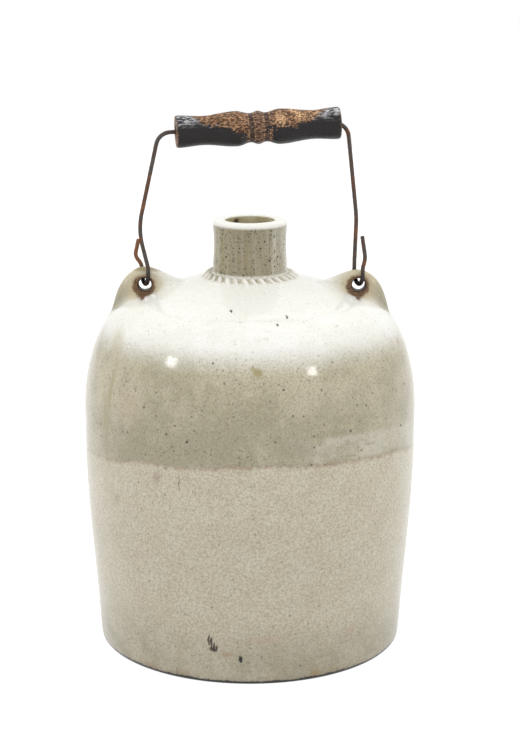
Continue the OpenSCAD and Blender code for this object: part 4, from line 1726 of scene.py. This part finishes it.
@dataclass
class Bail:
    """The bent wire: two tails, two hooks, two legs and the run through the grip."""

    form: JugForm
    finish: Material
    reaches: tuple[float, float]
    wire_r: float = 1.15
    hook_r: float = 5.9
    hook_yaw: float = 20.0
    grip_rise: float = 79.8
    grip_shift: float = 4.3
    grip_tilt: float = 2.3
    grip_yaw: float = 7.6
    grip_l: float = 89.0
    leg_start: float = 4.0
    top_bend_r: float = 8.0
    foot_bend_r: float = 7.0
    rust_swell: float = 0.1
    tip_share: float = 0.8
    step: float = 0.7
    sides: int = 18
    pitting: float = 0.07
    pit_size: float = 1.9

    @property
    def limbs(self) -> tuple[Limb, Limb]:
        """The two sides of the bail.

        Returns:
            The left and the right one.
        """
        left, right = self.reaches
        return (
            Limb(Side.LEFT, left, -3.0, 25.0, 40.0, 9.2, 3.7, 8.6, 2.1, 18.0, 5.0),
            Limb(Side.RIGHT, right, -1.2, 30.0, 60.0, 4.4, 1.4, 9.0, 2.0, 21.5, 13.0),
        )

    @property
    def grip_middle(self) -> Vector:
        """Middle of the grip, in millimetres."""
        return Vector((self.grip_shift, 0, self.form.hinge_z + self.grip_rise))

    @property
    def grip_direction(self) -> Vector:
        """Direction of the grip, towards its right end."""
        tilt, yaw = math.radians(self.grip_tilt), math.radians(self.grip_yaw)
        return Vector((math.cos(tilt) * math.cos(yaw), math.cos(tilt) * math.sin(yaw), math.sin(tilt)))

    def _rounded(self, corners: Sequence[Vector], radii: Sequence[float]) -> list[Vector]:
        """Round the inner corners of a path.

        Args:
            corners: Its corners.
            radii: Radius at each corner, without use at both ends.

        Returns:
            The points of the rounded path.
        """
        path = [corners[0]]
        for before, here, after, r in zip(corners, corners[1:], corners[2:], radii[1:]):
            back, on = (before - here).normalized(), (after - here).normalized()
            turn = math.pi - back.angle(on)
            if turn < 1e-3:
                continue
            run = r * math.tan(turn / 2)
            centre = here + (back + on).normalized() * (r / math.cos(turn / 2))
            spoke = here + back * run - centre
            axis = back.cross(on).normalized()
            count = max(3, math.ceil(r * turn / self.step))
            for i in range(count + 1):
                path.append(centre + Matrix.Rotation(-turn * i / count, 3, axis) @ spoke)
        path.append(corners[-1])
        return path

    def _half(self, limb: Limb) -> list[Vector]:
        """Route one half of the bail. The left leg hangs in front of its ear and the right one behind.

        Args:
            limb: The side of the bail.

        Returns:
            The middle line, from the tip of the tail to the middle of the grip.
        """
        way = limb.side.value
        yaw = math.radians(self.hook_yaw)
        middle = Vector((way * limb.reach, 0, self.form.hinge_z))
        front = Vector((math.sin(yaw), -math.cos(yaw), 0)) * self.hook_r
        leg_end, tail_end = middle - front * way, middle + front * way
        up = Vector((0, 0, 1))
        bend = Vector((tail_end.x + way * limb.tail_out, tail_end.y, middle.z + limb.tail_rise))
        tip = Vector((bend.x - way * limb.tail_curl, tail_end.y, middle.z + limb.tip_rise))
        start = tail_end + up * self.leg_start
        tail = self._rounded([tip, bend, start, tail_end], [0, limb.tail_bend, self.foot_bend_r, 0])
        knee = Vector((middle.x + limb.knee_shift, way * self.hook_r, middle.z + limb.knee_rise))
        top = self.grip_middle + self.grip_direction * way * (self.grip_l / 2 + limb.top_run)
        corners = [leg_end, leg_end + up * self.leg_start, knee, top, self.grip_middle]
        leg = self._rounded(corners, [0, self.foot_bend_r, limb.knee_bend, self.top_bend_r, 0])
        return tail[:-1] + self._hook(middle, tail_end, leg_end) + leg[1:]

    def _hook(self, middle: Vector, tail_end: Vector, leg_end: Vector) -> list[Vector]:
        """Route a hook, down from the tail and up to the leg.

        Args:
            middle: Middle of the hook.
            tail_end: Where the tail starts.
            leg_end: Where the leg starts.

        Returns:
            The middle line.
        """
        low = Vector((0, 0, -self.hook_r))
        count = math.ceil(math.pi * self.hook_r / self.step)
        hook = []
        for i in range(count + 1):
            turn = math.pi * i / count
            spoke = tail_end - middle if turn < math.pi / 2 else middle - leg_end
            hook.append(middle + spoke * math.cos(turn) + low * math.sin(turn))
        return hook

    def _even(self, path: list[Vector]) -> list[Vector]:
        """Space a path's points evenly.

        Args:
            path: The path.

        Returns:
            The evenly spaced path.
        """
        co = np.array([tuple(p) for p in path])
        keep = np.append(True, np.linalg.norm(np.diff(co, axis=0), axis=1) > 1e-5)
        co = co[keep]
        run = np.append(0, np.cumsum(np.linalg.norm(np.diff(co, axis=0), axis=1)))
        places = np.linspace(0, run[-1], math.ceil(run[-1] / self.step))
        even = np.column_stack([np.interp(places, run, co[:, k]) for k in range(3)])
        return [Vector(p) for p in even]

    def _draw(self) -> Piece:
        """Draw the wire as one curve, thicker by rust near the hooks, and make it a closed mesh.

        Returns:
            The piece.
        """
        left, right = [self._half(limb) for limb in self.limbs]
        path = self._even(left + right[::-1][1:])
        Bench.clear()
        bpy.ops.curve.primitive_nurbs_path_add()
        wire = bpy.context.object
        wire.name = "iron_bail_wire"
        curve = wire.data
        curve.splines.clear()
        spline = curve.splines.new("POLY")
        spline.points.add(len(path) - 1)
        for i, (point, place) in enumerate(zip(spline.points, path)):
            point.co = (*(place * MM), 1)
            low = float(ease(np.array((place.z - self.form.hole_z) / (self.hook_r * 1.6))))
            point.radius = self.tip_share if i in (0, len(path) - 1) else 1.0 + self.rust_swell * low
        curve.dimensions = "3D"
        curve.use_path = False
        curve.bevel_depth = self.wire_r * MM
        curve.bevel_resolution = (self.sides - 4) // 2
        curve.use_fill_caps = True
        curve.twist_mode = "MINIMUM"
        bpy.ops.object.convert(target="MESH")
        bpy.ops.object.mode_set(mode="EDIT")
        Bench.close_up()
        return bpy.context.object

    def build(self) -> Piece:
        """Bend the wire, pit it and dress it.

        Returns:
            The piece.
        """
        wire = self._draw()
        co = Bench.points(wire)
        normal = np.empty(len(wire.data.vertices) * 3)
        wire.data.vertices.foreach_get("normal", normal)
        depth = self.pitting * np.clip(0.35 + field(co, self.pit_size, 4.0), 0, 1)
        Bench.lay(wire, co - normal.reshape(-1, 3) * depth[:, None])
        Bench.smooth(wire, 40)
        Bench.coat(wire, self.finish)
        Bench.attach(wire, "bail", "bail_wire", "rusty_wire")
        return wire


@dataclass
class Grip:
    """The turned wooden grip: two bellies, a bead between two grooves, and paint worn away on top."""

    bail: Bail
    finish: Material
    radii: tuple[float, ...] = (9.1, 8.0, 9.6, 7.9, 8.7)
    shares: tuple[float, ...] = (0.0, 0.095, 0.27, 0.69, 1.0)
    edge: float = 0.8
    clearance: float = 0.45
    mouth_r: float = 3.6
    mouth_depth: float = 6.0
    steps: int = 168
    step: float = 0.55
    paint_t: float = 0.16
    grain_depth: float = 0.22
    crack_depth: float = 0.45
    bead_half: float = 7.2
    end_wear: float = 1.6
    worn_places: tuple[float, ...] = (-43, -36, -30, -22, -13, -8, -6.5, 7, 12, 18, 30, 36, 43)
    worn_levels: tuple[float, ...] = (1.3, 1.0, 0.6, 0.3, -0.02, -0.3, -0.5, 0.2, 0.18, 0.15, 0.5, 1.0, 1.25)

    def radius(self, away: np.ndarray) -> np.ndarray:
        """Find the radius of the smooth grip.

        Args:
            away: Distances from its middle.

        Returns:
            The radii.
        """
        share = np.clip(np.abs(away) / (self.bail.grip_l / 2 - self.edge), 0, 1)
        out = np.full_like(share, self.radii[-1])
        for start, end, first, last in zip(self.shares, self.shares[1:], self.radii, self.radii[1:]):
            x = (share - start) / (end - start)
            out = np.where((share >= start) & (share <= end), last + (first - last) * ease(x), out)
        return out

    def build(self) -> Piece:
        """Turn the grip, wear it, set it on the wire and dress it.

        Returns:
            The piece.
        """
        half = self.bail.grip_l / 2
        bore = self.bail.wire_r + self.clearance
        count = math.ceil((half - self.edge) * 2 / self.step)
        heights = np.linspace(-half + self.edge, half - self.edge, count + 1)
        side = [(float(r), float(z)) for r, z in zip(self.radius(heights), heights)]
        upper = arc((self.radii[-1] - self.edge, half - self.edge), self.edge, 0, 90, 0.3)
        lower = [(r, -z) for r, z in upper[::-1]]
        outline = joined(
            line((bore, 0.0), (bore, self.mouth_depth - half), 4),
            line((bore, self.mouth_depth - half), (self.mouth_r, -half), 1),
            line((self.mouth_r, -half), lower[0], 0.8),
            lower,
            side,
            upper,
            line(upper[-1], (self.mouth_r, half), 0.8),
            line((self.mouth_r, half), (bore, half - self.mouth_depth), 1),
            line((bore, half - self.mouth_depth), (bore, 0.0), 4),
        )
        piece = Bench.lathe("wooden_bail_grip", outline, self.steps)
        self._wear(piece)
        self._place(piece)
        Bench.smooth(piece, 45)
        Bench.coat(piece, self.finish)
        Bench.attach(piece, "grip", "wooden_grip", "painted_wood")
        return piece

    def _wear(self, piece: Piece) -> None:
        """Wear the paint off the top of both bellies and the bead, and open the grain there.

        The local X axis is the top of the grip, and Z runs along it to the right.

        Args:
            piece: The grip.
        """
        co = Bench.points(piece)
        spread = np.maximum(np.hypot(co[:, 0], co[:, 1]), 0.1)
        along = co[:, 2]
        from_end = self.bail.grip_l / 2 - np.abs(along)
        outer = spread > self.mouth_r + 0.4
        broad = field(co, 7.0, 1.0)
        fine = field(co * [1, 1, 0.35], 1.7, 9.0)
        worn_from = np.interp(along, self.worn_places, self.worn_levels)
        level = co[:, 0] / spread - worn_from + 0.14 * broad + 0.12 * fine
        bead = np.clip(0.62 + 0.3 * broad + 0.2 * fine, 0, 1) * (np.abs(along) < self.bead_half)
        wear = np.maximum(np.clip(0.5 + level * 1.5, 0, 1), bead)
        wear = np.maximum(wear, 0.62 * ease(from_end / self.end_wear))
        wear = np.where(outer, wear, 0.7)
        polar = np.column_stack([np.arctan2(co[:, 1], co[:, 0]) * 9, along * 0.14, np.zeros(len(co))])
        grain = np.clip(field(polar, 0.85, 6.0) * 1.5, -1, 1)
        deep = np.clip(field(polar * [1, 1.6, 1], 2.1, 12.0) * 2.2 - 0.55, 0, 1)
        cut = wear * (self.paint_t + self.grain_depth * (0.4 - 0.4 * grain) + self.crack_depth * deep)
        end_face = np.abs(along) > self.bail.grip_l / 2 - 0.05
        co[:, :2] *= (1 - np.where(outer & ~end_face, cut, 0) / spread)[:, None]
        Bench.lay(piece, co)
        Bench.note(piece, "wear", wear)
        own = piece.data.attributes.new("own_place", "FLOAT_VECTOR", "POINT")
        own.data.foreach_set("vector", (co * MM).ravel())

    def _place(self, piece: Piece) -> None:
        """Turn the grip's mesh onto the wire, its local X as near upright as the tilt lets it.

        Args:
            piece: The grip.
        """
        z = self.bail.grip_direction
        x = (Vector((0, 0, 1)) - z * z.z).normalized()
        turn = Matrix((x, z.cross(x), z)).transposed().to_4x4()
        piece.data.transform(Matrix.Translation(self.bail.grip_middle * MM) @ turn)


@dataclass(frozen=True)
class Lamp:
    """A rectangular lamp: its place, the point that it faces, its size in metres and its brightness."""

    name: str
    place: Triple
    aim: Triple
    width: float
    height: float
    brightness: float

    def build(self) -> None:
        """Hang the lamp."""
        data = bpy.data.lights.new(self.name, "AREA")
        data.shape = "RECTANGLE"
        data.size = self.width
        data.size_y = self.height
        data.energy = self.brightness * math.pi * self.width * self.height
        lamp = bpy.data.objects.new(self.name, data)
        bpy.context.scene.collection.objects.link(lamp)
        lamp.location = self.place
        facing = Vector(self.aim) - Vector(self.place)
        lamp.rotation_euler = facing.to_track_quat("-Z", "Y").to_euler()


@dataclass(frozen=True)
class Studio:
    """Camera, lamps, white surroundings and floor."""

    camera_back: float = 1.008
    camera_z: float = 0.401
    camera_down: float = 14.14
    lens: float = 88.95
    sensor: float = 36.0
    shift_x: float = 10 / 756
    base: float = 1.06
    sides: float = 0.46
    top: float = 0.27
    top_from: float = 0.38
    top_full: float = 0.85
    floor_r: float = 2.2
    lamps: tuple[Lamp, ...] = (
        Lamp("spot_left", (-0.995, -0.556, 0.717), (-0.04, -0.073, 0.174), 0.17, 0.1, 15.0),
        Lamp("spot_right", (0.836, -0.824, 0.658), (0.032, -0.079, 0.169), 0.17, 0.1, 15.0),
    )

    def build(self) -> None:
        """Build the whole studio."""
        self._camera()
        self._world()
        for lamp in self.lamps:
            lamp.build()
        self._floor()
        bpy.context.scene.view_settings.view_transform = "Standard"

    def _camera(self) -> None:
        """Put the camera where the photograph was taken from."""
        data = bpy.data.cameras.new("camera")
        data.sensor_fit = "VERTICAL"
        data.sensor_height = self.sensor
        data.lens = self.lens
        data.shift_x = self.shift_x
        camera = bpy.data.objects.new("camera", data)
        bpy.context.scene.collection.objects.link(camera)
        camera.location = (0, -self.camera_back, self.camera_z)
        camera.rotation_euler = (math.radians(90 - self.camera_down), 0, 0)
        bpy.context.scene.camera = camera

    def _world(self) -> None:
        """Surround the jug with soft light, brighter overhead and at the sides, and show it as white."""
        world = bpy.data.worlds.new("white_room")
        bpy.context.scene.world = world
        world.use_nodes = True
        graph = Graph(world.node_tree)
        background = world.node_tree.nodes["Background"]
        background.inputs["Color"].default_value = (1, 1, 1, 1)
        way = graph.add("ShaderNodeTexCoord").outputs["Generated"]
        axes = graph.add("ShaderNodeSeparateXYZ", {0: way}).outputs
        light = graph.ramp(axes[2], self.top_from, self.top_full, self.base, self.base + self.top)
        light = graph.scaled(graph.times(axes[0], axes[0]), self.sides, light)
        strength = graph.add("ShaderNodeMix", {0: white_behind(graph), 2: light, 3: 1.0}).outputs[0]
        graph.feed(background.inputs["Strength"], strength)

    def _floor(self) -> None:
        """Lay the floor."""
        Bench.clear()
        bpy.ops.mesh.primitive_circle_add(vertices=96, radius=self.floor_r, fill_type="NGON")
        floor = bpy.context.object
        floor.name = "floor"
        floor.data.materials.append(FloorFinish().build())


@dataclass
class Jug:
    """The whole object, built piece by piece."""

    form: JugForm
    hole_reaches: tuple[float, float] = (57.6, 59.5)
    ear_heights: tuple[float, float] = (14.4, 13.2)
    ear_runs_out: tuple[float, float] = (27.0, 25.5)

    def build(self) -> list[Piece]:
        """Build and dress every piece.

        Returns:
            The pieces.
        """
        effects = Effects()
        glaze = GlazeFinish(self.form, self.hole_reaches).build(effects)
        inner = InnerGlazeFinish().build(effects)
        clay = ClayBody(self.form, glaze, inner)
        bail = Bail(self.form, WireFinish().build(effects), self.hole_reaches)
        ears = [
            Ear(self.form, glaze, *own)
            for own in zip(Side, self.hole_reaches, self.ear_heights, self.ear_runs_out)
        ]
        makers: list[Callable[[], Piece]] = [
            clay.lower_body,
            clay.shoulder,
            Neck(self.form, glaze, inner).build,
            *[ear.build for ear in ears],
            bail.build,
            Grip(bail, GripFinish().build(effects)).build,
        ]
        return [make() for make in makers]


def check_sizes(form: JugForm) -> None:
    """Warn where the form departs from the CAD model.

    Args:
        form: Sizes of the jug.
    """
    belly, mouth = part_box("shoulder")[1].x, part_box("neck")[1].z
    pairs = {"belly radius": (belly / MM, form.belly_r), "mouth height": (mouth / MM, form.mouth_z)}
    for joint in frame["joints"]:
        if joint["name"] == "bail_swing":
            pairs["hinge height"] = (joint["pos_m"][2] / MM, form.hinge_z)
    for name, (cad, own) in pairs.items():
        if abs(cad - own) > SIZE_TOLERANCE:
            log.warning("%s: %.2f in the CAD model, %.2f here", name, cad, own)


def main() -> None:
    """Build the jug and its studio, and note the sizes of both models."""
    logging.basicConfig(level=logging.INFO, format="%(name)s: %(message)s")
    form = JugForm()
    check_sizes(form)
    pieces = Jug(form).build()
    Studio().build()
    log.info("%d pieces", len(pieces))


if __name__ == "__main__":
    main()
